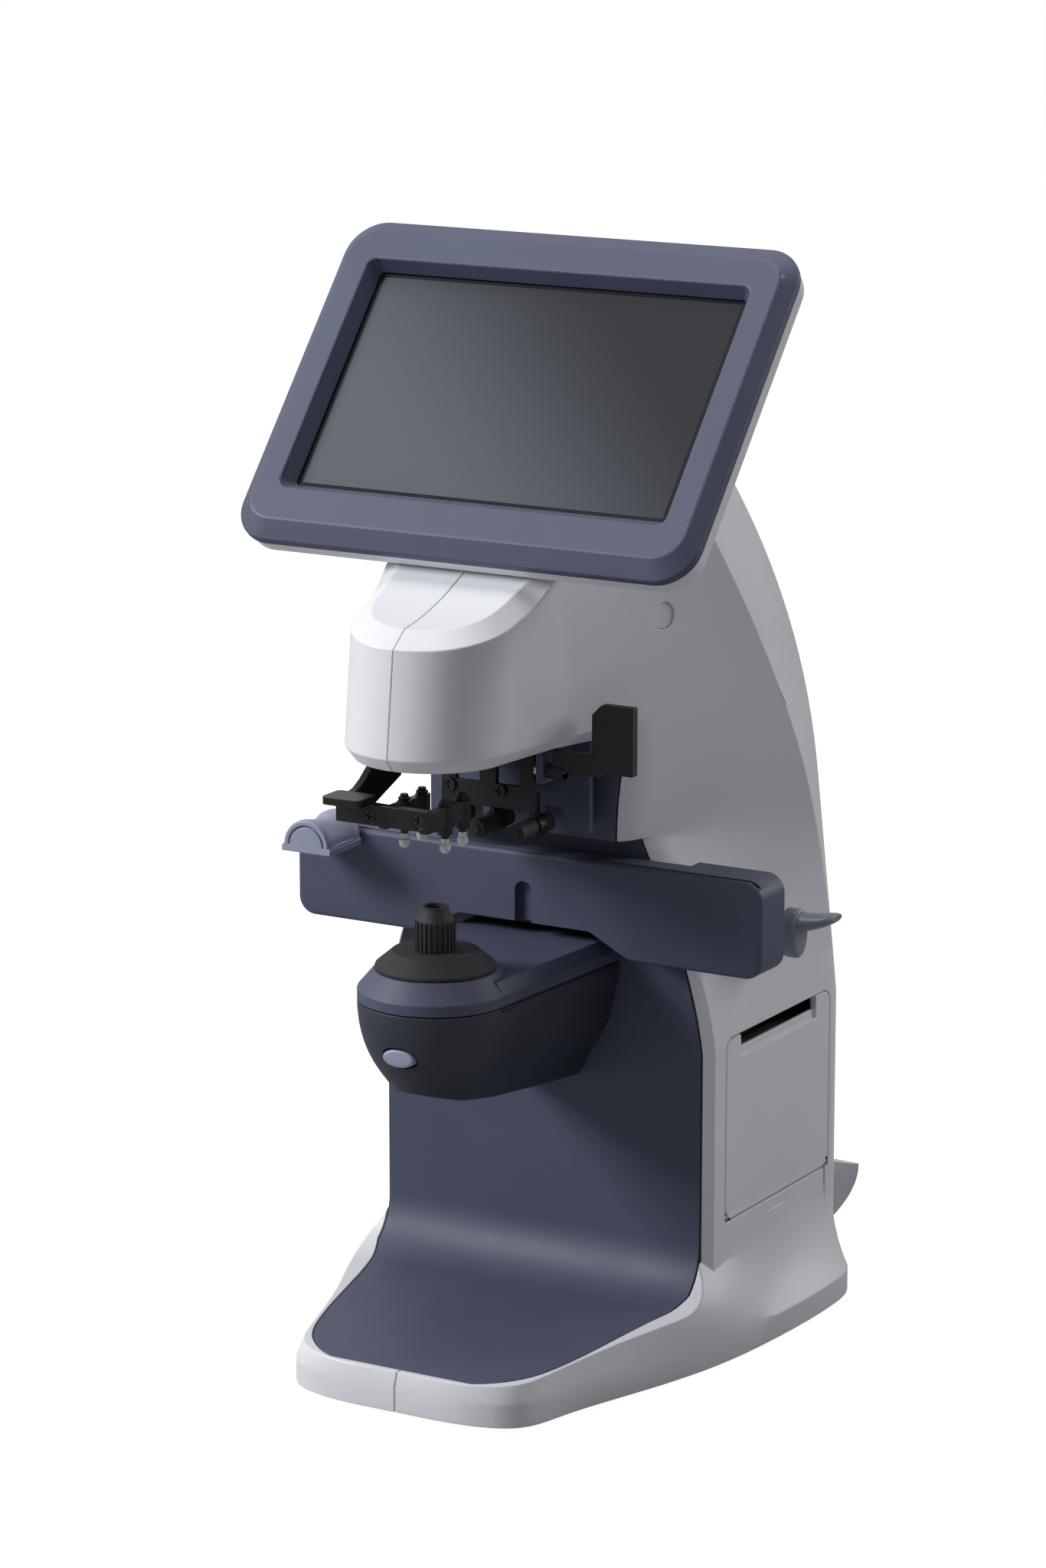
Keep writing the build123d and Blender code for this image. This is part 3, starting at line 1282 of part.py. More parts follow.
def build_marking(pieces):
    """Marking unit: comb, carriage, hanging arms, three pens, lever, shaft and spring."""
    comb_back = comb_y + comb_thickness
    head_floor = head_bottom + wall
    comb = block((-comb_left, comb_right), (comb_y, comb_back), (comb_bottom, head_floor + 5.0))
    for i in (-1, 0, 1):
        x = i * pen_pitch
        comb -= block((x - comb_window / 2, x + comb_window / 2), (comb_y - 1, comb_back + 1),
                      (comb_bottom - 1, comb_window_top))
    comb += block((-frame_arm_half_width, frame_arm_half_width), (comb_y, marker_back_hanger_y),
                  (head_floor + 4.8, head_floor + 7.8))
    ear_x = (lever_ear_x, lever_ear_x + 3.0)
    axis = (lever_pivot_y, lever_pivot_z)
    comb += block(ear_x, (axis[0] - 4.0, comb_y + 1.0), (axis[1] - 4.5, axis[1] + 6.5))
    comb -= bar_x(ear_x[0] - 1, ear_x[1] + 1, *axis, marking_shaft_radius + running_gap)
    pieces["comb_bracket"] = comb

    plate_y = (marker_plate_y - marker_plate_thickness, marker_plate_y)
    plate = block((-marker_half_width, marker_half_width), plate_y, (marker_bottom, marker_top))
    window_z = (marker_bottom + 9.0, marker_top - 6.0)
    for i in (-0.5, 0.5):
        x = i * pen_pitch
        plate -= block((x - 5.0, x + 5.0), (plate_y[0] - 1, plate_y[1] + 1), window_z)
    stem_x = (marker_stem_x - marker_stem_half_width, marker_stem_x + marker_stem_half_width)
    stem_y = (marker_plate_y - 3.0, marker_plate_y + 3.4)
    plate += both(block(stem_x, stem_y, (marker_top - 3.0, marker_rod_z + 4.0)))
    ear_z = (pen_pivot_z - 3.0, pen_pivot_z + 3.0)
    ears = both(block((6.5, 8.5), (plate_y[0], pen_pivot_y + 3.0), ear_z))
    plate += ears
    plate -= both(bar_y(marker_stem_x, stem_y[0] - 1, stem_y[1] + 1, marker_rod_z,
                        marker_rod_radius + running_gap))
    shaft_radius = 1.2
    plate -= bar_x(-10.0, 10.0, pen_pivot_y, pen_pivot_z, shaft_radius + running_gap)
    places = [(-marker_half_width + 3.6, 219.8), (5.3, 219.8)]
    pieces["marker_carriage"] = plate

    arms = bar_x(-pen_pitch - 2.0, pen_pitch + 2.0, pen_pivot_y, pen_pivot_z, shaft_radius)
    half = pen_arm_thickness / 2
    for i in (-1, 0, 1):
        x = i * pen_pitch
        sheet = [(pen_pivot_y - 1.8, pen_pivot_z + 1.6), (pen_pivot_y + 1.8, pen_pivot_z + 1.6),
                 (pen_pivot_y + 2.2, pen_z), (pen_pivot_y - 2.2, pen_z)]
        arms += side_sheet(sheet, x - half, x + half)
        arms += bar_y(x, pen_pivot_y - 2.0, pen_pivot_y + 2.0, pen_z, pen_ring_radius)
    for i in (-1, 0, 1):
        arms -= bar_y(i * pen_pitch, pen_pivot_y - 3.0, pen_pivot_y + 3.0, pen_z, pen_radius)
    pieces["pen_arms"] = arms
    front, back = pen_front + pen_cap_length, pen_back - pen_cap_length + 1.0
    xs = [i * pen_pitch for i in (-1, 0, 1)]
    pieces["ink_pens"] = [bar_y(x, front - 1.5, back + 1.5, pen_z, pen_radius) for x in xs]
    caps = []
    for x in xs:
        nose = bar_y(x, pen_front + 0.9, front, pen_z, pen_cap_radius)
        nose += bar_y(x, pen_front, pen_front + 1.0, pen_z, pen_cap_radius * 0.55)
        nose -= bar_y(x, front - 1.5, front + 1.0, pen_z, pen_radius)
        tail = bar_y(x, back, pen_back, pen_z, pen_cap_radius)
        tail -= bar_y(x, back - 1.0, back + 1.5, pen_z, pen_radius)
        caps += [nose, tail]
    pieces["pen_caps"] = caps
    screws = []
    for x, z in places:
        screws.append(screw((x, plate_y[0] - 1.1, z), (0, -1, 0), 1.1))
    pieces["carriage_screws"] = screws

    sleeve_start = lever_ear_x + 3.3
    arm_x = (sleeve_start + 2.0, marking_tab_left + 3.0)
    lever = bar_x(sleeve_start, sleeve_start + 7.0, *axis, marking_sleeve_radius)
    plate_limits = (lever_pivot_y - marking_plate / 2, lever_pivot_y + marking_plate / 2)
    lever += block(arm_x, plate_limits, (lever_pivot_z, lever_pivot_z + 8.0))
    corner = 4.0
    tab = [
        (marking_tab_left, lever_pivot_z + 1.6), (marking_tab_right, lever_pivot_z + 1.6),
        (marking_tab_right, marking_tab_top), (marking_tab_left + corner, marking_tab_top),
        (marking_tab_left, marking_tab_top - corner),
    ]
    lever += front_sheet(tab, *plate_limits)
    shaft_end = sleeve_start + 7.0
    lever -= bar_x(sleeve_start - 1, shaft_end, *axis, marking_shaft_radius)
    pieces["marking_lever"] = lever
    shaft = bar_x(lever_ear_x - 1.4, shaft_end, *axis, marking_shaft_radius)
    shaft += bar_x(lever_ear_x - 1.4, lever_ear_x - 0.4, *axis, marking_sleeve_radius)
    pieces["marking_shaft"] = shaft


def screen_sheet(inset_x, inset_y, corner, depth):
    """Rounded outline in the screen's plane, drawn in from the bezel's edge, at a depth."""
    height = bezel_below + bezel_above - 2 * inset_y
    lift = (bezel_above - bezel_below) / 2
    tilt = radians(screen_tilt)
    plane = Plane(origin=(0, screen_y, screen_z), x_dir=(1, 0, 0), z_dir=(0, -cos(tilt), sin(tilt)))
    return plane * Pos(0, lift, depth) * RectangleRounded(2 * (bezel_half_width - inset_x), height, corner)


def glass_sheet(margin, corner, depth, drop=0.0, stretch=0.0):
    """Rounded outline round the display glass, in the screen's plane, at a depth."""
    tilt = radians(screen_tilt)
    plane = Plane(origin=(0, screen_y, screen_z), x_dir=(1, 0, 0), z_dir=(0, -cos(tilt), sin(tilt)))
    size = (glass_width + 2 * margin, glass_height + 2 * margin + stretch)
    return plane * Pos(0, -drop, depth) * RectangleRounded(*size, corner)


def build_screen(pieces):
    """Bezel, glass, display module, rear housing with lugs, and the tilt hinge."""
    bezel = extrude(screen_sheet(0, 0, bezel_corner, -bezel_back), amount=bezel_back + bezel_edge)
    bezel += loft([
        screen_sheet(0, 0, bezel_corner, bezel_edge),
        screen_sheet(bezel_face_inset_x, bezel_face_inset_y, bezel_face_corner, bezel_face),
    ])
    over = 1.0 + 0.5 / bezel_face
    bezel -= loft([
        glass_sheet(0.0, 1.5, 0.0),
        glass_sheet(opening_flare * over, 4.0, bezel_face * over, opening_drop),
    ])
    bezel -= extrude(glass_sheet(glass_margin, 2.0, -bezel_back - 0.1), amount=bezel_back + 0.1)
    pieces["bezel"] = bezel
    pieces["display_glass"] = extrude(glass_sheet(glass_margin - 0.3, 1.7, -glass_thickness - 0.1),
                                      amount=glass_thickness)
    module_top = -glass_thickness - 0.3
    pieces["display_module"] = extrude(glass_sheet(glass_margin, 1.0, module_top), amount=-module_thickness)

    corner = bezel_corner - housing_inset
    side_end = -housing_side
    housing = extrude(screen_sheet(housing_inset, housing_inset, corner, side_end),
                      amount=housing_side - bezel_back)
    back_inset = housing_inset + housing_taper
    housing += loft([
        screen_sheet(housing_inset, housing_inset, corner, side_end),
        screen_sheet(back_inset, back_inset, corner - 5.0, -housing_depth),
    ])
    thin = housing_inset + housing_wall
    housing -= extrude(screen_sheet(thin, thin, corner - housing_wall, side_end),
                       amount=housing_side - bezel_back + 1.0)
    housing -= loft([
        screen_sheet(thin, thin, corner - housing_wall, side_end),
        screen_sheet(back_inset + 1.0, back_inset + 1.0, corner - 6.0, -housing_depth + housing_wall),
    ])
    y, z = hinge_place()
    lug_x = (lug_inner, lug_inner + lug_thickness)
    tilt = radians(screen_tilt)
    plane = Plane(origin=(0, screen_y, screen_z), x_dir=(1, 0, 0), z_dir=(0, -cos(tilt), sin(tilt)))
    reach = hinge_back - housing_depth
    neck = plane * Pos((lug_x[0] + lug_x[1]) / 2, hinge_up, -housing_depth - reach / 2 + 0.2)
    lug = neck * Box(lug_thickness, 2 * hinge_boss_radius, reach + 0.4)
    lug += bar_x(*lug_x, y, z, hinge_boss_radius)
    housing += both(lug)
    hole = hinge_pin_radius + running_gap
    housing -= bar_x(-lug_x[1] - 1, lug_x[1] + 1, y, z, hole)
    pieces["screen_rear_housing"] = housing

    ear_x = (lug_x[1] + side_gap, ear_edge)
    ear = block(ear_x, (y - hinge_boss_radius, y + hinge_boss_radius), (upper_arm_bottom + 20.0, z))
    ear += bar_x(*ear_x, y, z, hinge_boss_radius)
    floor = upper_arm_bottom + upper_arm_height
    foot_y = (y - hinge_boss_radius - 4.0, y + hinge_boss_radius + 4.0)
    foot_z = (upper_arm_bottom + 18.0, upper_arm_bottom + 22.0)
    bracket = both(ear) + block((-ear_edge, ear_edge), foot_y, foot_z)
    post = frame_arm_half_width - 2.0
    bracket += block((-post, post), (y - 3.0, y + 3.0), (floor, upper_arm_bottom + 20.0))
    bracket -= bar_x(-ear_edge - 1, ear_edge + 1, y, z, hinge_pin_radius)
    pieces["tilt_bracket"] = bracket
    pieces["tilt_pin"] = bar_x(-ear_edge, ear_edge, y, z, hinge_pin_radius)


def build_printer(pieces, skin):
    """Door in the right side, cut from the casing's skin, with the printer, platen and paper roll."""
    door = door_prism(door_gap, column_half_width - 8.0, column_half_width + 8.0) & skin
    door -= slot_notch(column_half_width - 10.0, column_half_width + 10.0, slot_height)
    door -= slot_notch(column_half_width - slot_ledge_depth, column_half_width + 10.0, slot_ledge)
    x = column_half_width - wall / 2
    z = door_bottom + door_gap + wall / 2
    ends = (door_front + door_gap + 3.0, door_back - door_gap - 3.0)
    low_x = (column_half_width - 9.0, column_half_width + 9.0)
    door -= block(low_x, (door_front - 1.0, door_back + 1.0), (door_bottom - 1.0, z))
    swing_room = door_low_corner
    for y0, y1 in ((door_front, door_front + swing_room), (door_back - swing_room, door_back)):
        door -= block(low_x, (y0, y1), (door_bottom, z + swing_room))
    door += bar_y(x, *ends, z, wall / 2)
    for y0, y1 in ((door_front - 1.6, door_front + 8.0), (door_back - 8.0, door_back + 1.6)):
        door += bar_y(x, y0, y1, z, door_pin_radius)
    pieces["printer_door"] = door

    start = frame_half_width
    side_y = (roll_y - roll_width / 2 - 3.0, roll_y + roll_width / 2 + 3.0)
    mech = block((start, start + 3.0), side_y, (52.0, 118.0))
    for y0 in (side_y[0], side_y[1] - 2.0):
        mech += block((start, platen_x + 4.0), (y0, y0 + 2.0), (56.0, 118.0))
    mech += block((start + 8.0, platen_x - 6.0), side_y, (100.0, 116.0))
    mech += bar_y(roll_x, side_y[0], side_y[1], roll_z, roll_core_radius - 0.6)
    platen_hole = 1.5 + running_gap
    mech -= bar_y(platen_x, side_y[0] - 1, side_y[1] + 1, platen_z, platen_hole)
    pieces["printer_mechanism"] = mech
    inner = (side_y[0] + 2.4, side_y[1] - 2.4)
    platen = bar_y(platen_x, *inner, platen_z, platen_radius)
    platen += bar_y(platen_x, side_y[0], side_y[1], platen_z, 1.5)
    pieces["platen_roller"] = platen
    roll_ends = (roll_y - roll_width / 2, roll_y + roll_width / 2)
    roll = bar_y(roll_x, *roll_ends, roll_z, roll_radius)
    roll -= bar_y(roll_x, roll_ends[0] - 1, roll_ends[1] + 1, roll_z, roll_core_radius)
    pieces["paper_roll"] = roll


def main():
    """Build every piece and write one file for each."""
    os.makedirs("parts", exist_ok=True)
    pieces = {}
    skin = build_casing(pieces)
    build_connections(pieces)
    build_frame(pieces)
    build_optics(pieces)
    build_lower_housing(pieces)
    build_nosepiece(pieces)
    build_table(pieces)
    build_slider(pieces)
    build_table_lever(pieces)
    build_holder(pieces)
    build_marking(pieces)
    build_screen(pieces)
    build_printer(pieces, skin)
    middle_y = (nose_front_low + depth_to_spine) / 2
    stand = Pos(0, -middle_y, foot_height)
    for name, shape in pieces.items():
        shapes = shape if isinstance(shape, list) else [shape]
        solids = [solid for item in shapes for solid in item.solids()]
        export_step(stand * Compound(solids), f"parts/{name}.step")


main()
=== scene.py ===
"""Looks of the desktop lensmeter: finishes, rounded edges, small details, studio and camera."""

from __future__ import annotations

import json
import logging
import math
from abc import ABC, abstractmethod
from dataclasses import dataclass
from enum import Enum
from typing import Any, Callable, Sequence

import bmesh
import bpy
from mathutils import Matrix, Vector

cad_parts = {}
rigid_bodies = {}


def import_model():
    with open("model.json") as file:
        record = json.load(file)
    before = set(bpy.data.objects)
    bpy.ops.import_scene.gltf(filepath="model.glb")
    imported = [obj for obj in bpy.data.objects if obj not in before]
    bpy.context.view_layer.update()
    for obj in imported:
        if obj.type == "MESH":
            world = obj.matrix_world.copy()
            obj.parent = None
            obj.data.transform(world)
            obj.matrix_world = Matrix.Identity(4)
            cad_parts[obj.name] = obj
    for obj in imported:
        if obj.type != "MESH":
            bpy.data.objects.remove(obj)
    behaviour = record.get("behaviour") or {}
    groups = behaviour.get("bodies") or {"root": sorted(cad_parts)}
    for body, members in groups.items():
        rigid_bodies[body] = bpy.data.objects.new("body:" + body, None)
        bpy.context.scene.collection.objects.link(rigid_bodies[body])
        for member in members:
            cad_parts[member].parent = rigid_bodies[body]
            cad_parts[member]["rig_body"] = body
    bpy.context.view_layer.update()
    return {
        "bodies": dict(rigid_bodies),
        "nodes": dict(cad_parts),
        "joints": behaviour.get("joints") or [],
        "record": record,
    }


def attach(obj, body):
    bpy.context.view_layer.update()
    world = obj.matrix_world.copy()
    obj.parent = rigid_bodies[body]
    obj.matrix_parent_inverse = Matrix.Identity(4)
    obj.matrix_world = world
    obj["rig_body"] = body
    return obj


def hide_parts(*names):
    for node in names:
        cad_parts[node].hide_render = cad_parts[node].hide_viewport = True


LOG = logging.getLogger("lensmeter")
MERGE_DISTANCE = 0.000004
FLAT_TURN = 0.3
PACKED_NORMALS = "custom_normal"
MIX_SHARE, MIX_FROM, MIX_TO, MIX_COLOUR = 0, 6, 7, 2
Colour = tuple[float, float, float]
Frame = dict[str, Any]


class Channel(Enum):
    """Kinds of socket that a shader group can carry."""

    VALUE = "NodeSocketFloat"
    COLOUR = "NodeSocketColor"
    VECTOR = "NodeSocketVector"


def srgb(code: str) -> Colour:
    """Turns a six-digit screen colour into linear light.

    Args:
        code: Hexadecimal colour such as "a0b1c2".

    Returns:
        The linear red, green and blue.
    """
    parts = (int(code[i:i + 2], 16) / 255 for i in (0, 2, 4))
    return tuple(c / 12.92 if c <= 0.04045 else ((c + 0.055) / 1.055) ** 2.4 for c in parts)


class GroupSheet:
    """A shader node group under construction, with short calls for its nodes and wires."""

    def __init__(self, name: str) -> None:
        """Starts an empty group.

        Args:
            name: The group's name in the file.
        """
        self.tree = bpy.data.node_groups.new(name, "ShaderNodeTree")
        self.entry = self.tree.nodes.new("NodeGroupInput")
        self.exit = self.tree.nodes.new("NodeGroupOutput")

    def take(self, name: str, kind: Channel, value: Any) -> bpy.types.NodeSocket:
        """Adds an input with its usual value.

        Args:
            name: The socket's name.
            kind: The socket's kind.
            value: What it holds when nothing is wired to it.

        Returns:
            The socket that gives the input inside the group.
        """
        item = self.tree.interface.new_socket(name=name, in_out="INPUT", socket_type=kind.value)
        item.default_value = value
        return self.entry.outputs[name]

    def give(self, name: str, kind: Channel, source: bpy.types.NodeSocket) -> None:
        """Adds an output fed from a socket inside the group.

        Args:
            name: The output's name.
            kind: Its kind.
            source: The socket that feeds it.
        """
        self.tree.interface.new_socket(name=name, in_out="OUTPUT", socket_type=kind.value)
        self.tree.links.new(source, self.exit.inputs[name])

    def node(self, kind: str, wires: dict[Any, Any] | None = None, **settings: Any) -> bpy.types.Node:
        """Adds a node, sets its properties and wires its inputs.

        Args:
            kind: Blender's node type.
            wires: Input name or number to a socket or a plain value.
            **settings: Node properties.

        Returns:
            The node.
        """
        return place_node(self.tree, kind, wires, **settings)


def place_node(tree: bpy.types.NodeTree, kind: str, wires: dict[Any, Any] | None = None,
               **settings: Any) -> bpy.types.Node:
    """Adds a node to a tree, sets its properties and wires its inputs.

    Args:
        tree: The tree of a material, a world or a group.
        kind: Blender's node type.
        wires: Input name or number to a socket or a plain value.
        **settings: Node properties.

    Returns:
        The node.
    """
    node = tree.nodes.new(kind)
    for key, value in settings.items():
        setattr(node, key, value)
    for key, value in (wires or {}).items():
        if isinstance(value, bpy.types.NodeSocket):
            tree.links.new(value, node.inputs[key])
        else:
            node.inputs[key].default_value = value
    return node


class EffectLibrary:
    """The shader groups that several finishes share. Each is built once."""

    def __init__(self) -> None:
        """Starts with no group built."""
        self._built: dict[str, bpy.types.NodeTree] = {}

    def get(self, name: str) -> bpy.types.NodeTree:
        """Gives a shared group, built on first use.

        Args:
            name: One of grain, wear, brushed, dust or board.

        Returns:
            The group's tree.
        """
        if name not in self._built:
            maker: Callable[[], bpy.types.NodeTree] = getattr(self, f"_{name}")
            self._built[name] = maker()
        return self._built[name]

    def _grain(self) -> bpy.types.NodeTree:
        """Moulded grain: fine pebbles for the height, broad drifts for colour and roughness."""
        sheet = GroupSheet("moulded_grain")
        colour = sheet.take("Color", Channel.COLOUR, (0.5, 0.5, 0.5, 1.0))
        tone = sheet.take("Tone", Channel.VALUE, 0.1)
        size = sheet.take("Grain Size", Channel.VALUE, 2500.0)
        rough = sheet.take("Roughness", Channel.VALUE, 0.5)
        swing = sheet.take("Roughness Swing", Channel.VALUE, 0.06)
        place = sheet.node("ShaderNodeTexCoord").outputs["Object"]
        fine = sheet.node("ShaderNodeTexNoise", {"Vector": place, "Scale": size, "Detail": 2.0,
                                                 "Roughness": 0.55})
        cells = sheet.node("ShaderNodeTexVoronoi", {"Vector": place, "Scale": size},
                           feature="SMOOTH_F1")
        broad = sheet.node("ShaderNodeTexNoise", {"Vector": place, "Scale": 28.0, "Detail": 4.0})
        height = sheet.node("ShaderNodeMath", {0: fine.outputs["Fac"], 1: cells.outputs["Distance"]},
                            operation="ADD")
        drift = sheet.node("ShaderNodeMapRange", {"Value": broad.outputs["Fac"], "From Min": 0.3,
                                                  "From Max": 0.7, "To Min": -0.5, "To Max": 0.5})
        speck = sheet.node("ShaderNodeMapRange", {"Value": fine.outputs["Fac"], "From Min": 0.3,
                                                  "From Max": 0.7, "To Min": -0.5, "To Max": 0.5})
        both = sheet.node("ShaderNodeMath", {0: speck.outputs[0], 1: 0.7, 2: drift.outputs[0]},
                          operation="MULTIPLY_ADD")
        shift = sheet.node("ShaderNodeMath", {0: both.outputs[0], 1: tone, 2: 1.0},
                           operation="MULTIPLY_ADD")
        tinted = sheet.node("ShaderNodeVectorMath", {0: colour, "Scale": shift.outputs[0]},
                            operation="SCALE")
        rough_shift = sheet.node("ShaderNodeMath", {0: drift.outputs[0], 1: swing, 2: rough},
                                 operation="MULTIPLY_ADD")
        sheet.give("Color", Channel.COLOUR, tinted.outputs[0])
        sheet.give("Roughness", Channel.VALUE, rough_shift.outputs[0])
        sheet.give("Height", Channel.VALUE, height.outputs[0])
        return sheet.tree

    def _wear(self) -> bpy.types.NodeTree:
        """Edge wear: paler where the surface turns a corner, broken up by noise."""
        sheet = GroupSheet("edge_wear")
        colour = sheet.take("Color", Channel.COLOUR, (0.5, 0.5, 0.5, 1.0))
        worn = sheet.take("Worn Color", Channel.COLOUR, (0.7, 0.7, 0.7, 1.0))
        amount = sheet.take("Amount", Channel.VALUE, 0.3)
        bend = sheet.node("ShaderNodeNewGeometry").outputs["Pointiness"]
        place = sheet.node("ShaderNodeTexCoord").outputs["Object"]
        patches = sheet.node("ShaderNodeTexNoise", {"Vector": place, "Scale": 160.0, "Detail": 3.0})
        edge = sheet.node("ShaderNodeMapRange", {"Value": bend, "From Min": 0.52, "From Max": 0.60})
        broken = sheet.node("ShaderNodeMapRange", {"Value": patches.outputs["Fac"], "From Min": 0.35,
                                                   "From Max": 0.65})
        mask = sheet.node("ShaderNodeMath", {0: edge.outputs[0], 1: broken.outputs[0]},
                          operation="MULTIPLY")
        mask = sheet.node("ShaderNodeMath", {0: mask.outputs[0], 1: amount}, operation="MULTIPLY")
        mixed = sheet.node("ShaderNodeMix", {MIX_SHARE: mask.outputs[0], MIX_FROM: colour,
                                             MIX_TO: worn}, data_type="RGBA")
        sheet.give("Color", Channel.COLOUR, mixed.outputs[MIX_COLOUR])
        sheet.give("Mask", Channel.VALUE, mask.outputs[0])
        return sheet.tree

    def _brushed(self) -> bpy.types.NodeTree:
        """Brushed metal: noise drawn out along one axis."""
        sheet = GroupSheet("brushed_lines")
        colour = sheet.take("Color", Channel.COLOUR, (0.6, 0.6, 0.6, 1.0))
        rough = sheet.take("Roughness", Channel.VALUE, 0.3)
        stretch = sheet.take("Stretch", Channel.VECTOR, (40.0, 900.0, 900.0))
        place = sheet.node("ShaderNodeTexCoord").outputs["Object"]
        drawn = sheet.node("ShaderNodeVectorMath", {0: place, 1: stretch}, operation="MULTIPLY")
        lines = sheet.node("ShaderNodeTexNoise", {"Vector": drawn.outputs[0], "Scale": 3.0, "Detail": 3.0})
        shade = sheet.node("ShaderNodeMapRange", {"Value": lines.outputs["Fac"], "From Min": 0.3,
                                                  "From Max": 0.7, "To Min": 0.86, "To Max": 1.08})
        tinted = sheet.node("ShaderNodeVectorMath", {0: colour, "Scale": shade.outputs[0]},
                            operation="SCALE")
        swing = sheet.node("ShaderNodeMapRange", {"Value": lines.outputs["Fac"], "From Min": 0.3,
                                                  "From Max": 0.7, "To Min": -0.07, "To Max": 0.07})
        total = sheet.node("ShaderNodeMath", {0: swing.outputs[0], 1: rough}, operation="ADD")
        sheet.give("Color", Channel.COLOUR, tinted.outputs[0])
        sheet.give("Roughness", Channel.VALUE, total.outputs[0])
        sheet.give("Height", Channel.VALUE, lines.outputs["Fac"])
        return sheet.tree

    def _dust(self) -> bpy.types.NodeTree:
        """Faint dust on faces that look up, thinner where the noise is low."""
        sheet = GroupSheet("settled_dust")
        colour = sheet.take("Color", Channel.COLOUR, (0.5, 0.5, 0.5, 1.0))
        dust = sheet.take("Dust Color", Channel.COLOUR, (0.6, 0.6, 0.6, 1.0))
        amount = sheet.take("Amount", Channel.VALUE, 0.05)
        normal = sheet.node("ShaderNodeNewGeometry").outputs["Normal"]
        up = sheet.node("ShaderNodeSeparateXYZ", {0: normal}).outputs["Z"]
        place = sheet.node("ShaderNodeTexCoord").outputs["Object"]
        patches = sheet.node("ShaderNodeTexNoise", {"Vector": place, "Scale": 45.0, "Detail": 5.0})
        facing = sheet.node("ShaderNodeMapRange", {"Value": up, "From Min": 0.2, "From Max": 1.0})
        mask = sheet.node("ShaderNodeMath", {0: facing.outputs[0], 1: patches.outputs["Fac"]},
                          operation="MULTIPLY")
        mask = sheet.node("ShaderNodeMath", {0: mask.outputs[0], 1: amount}, operation="MULTIPLY")
        mixed = sheet.node("ShaderNodeMix", {MIX_SHARE: mask.outputs[0], MIX_FROM: colour,
                                             MIX_TO: dust}, data_type="RGBA")
        sheet.give("Color", Channel.COLOUR, mixed.outputs[MIX_COLOUR])
        return sheet.tree

    def _board(self) -> bpy.types.NodeTree:
        """Circuit board: copper tracks under green lacquer, drawn by a brick texture."""
        sheet = GroupSheet("board_tracks")
        colour = sheet.take("Color", Channel.COLOUR, (0.02, 0.12, 0.06, 1.0))
        track = sheet.take("Track Color", Channel.COLOUR, (0.05, 0.22, 0.10, 1.0))
        place = sheet.node("ShaderNodeTexCoord").outputs["Object"]
        cells = sheet.node("ShaderNodeTexBrick", {"Vector": place, "Scale": 120.0, "Mortar Size": 0.05,
                                                  "Color1": (0, 0, 0, 1), "Color2": (0, 0, 0, 1),
                                                  "Mortar": (1, 1, 1, 1)})
        mixed = sheet.node("ShaderNodeMix", {MIX_SHARE: cells.outputs["Color"], MIX_FROM: colour,
                                             MIX_TO: track},
                           data_type="RGBA")
        sheet.give("Color", Channel.COLOUR, mixed.outputs[MIX_COLOUR])
        sheet.give("Height", Channel.VALUE, cells.outputs["Fac"])
        return sheet.tree


EFFECTS = EffectLibrary()


class Finish(ABC):
    """A finish that can dress a piece."""

    name: str

    def material(self) -> bpy.types.Material:
        """Gives the finish's material, built on first use."""
        found = bpy.data.materials.get(self.name)
        return found or self._build()

    def _start(self) -> tuple[bpy.types.Material, bpy.types.NodeTree, bpy.types.Node]:
        """Makes the material with its Principled shader.

        Returns:
            The material, its tree and the shader.
        """
        made = bpy.data.materials.new(self.name)
        made.use_nodes = True
        tree = made.node_tree
        return made, tree, tree.nodes["Principled BSDF"]

    def _bump(self, tree: bpy.types.NodeTree, shader: bpy.types.Node, height: bpy.types.NodeSocket,
              depth: float, strength: float) -> None:
        """Wires a height into the shader's normal.

        Args:
            tree: The material's tree.
            shader: The Principled shader.
            height: The height socket.
            depth: The grain's depth in metres.
            strength: The bump's strength.
        """
        bump = place_node(tree, "ShaderNodeBump", {"Height": height, "Distance": depth,
                                                   "Strength": strength})
        tree.links.new(bump.outputs["Normal"], shader.inputs["Normal"])

    @abstractmethod
    def _build(self) -> bpy.types.Material:
        """Builds the material."""


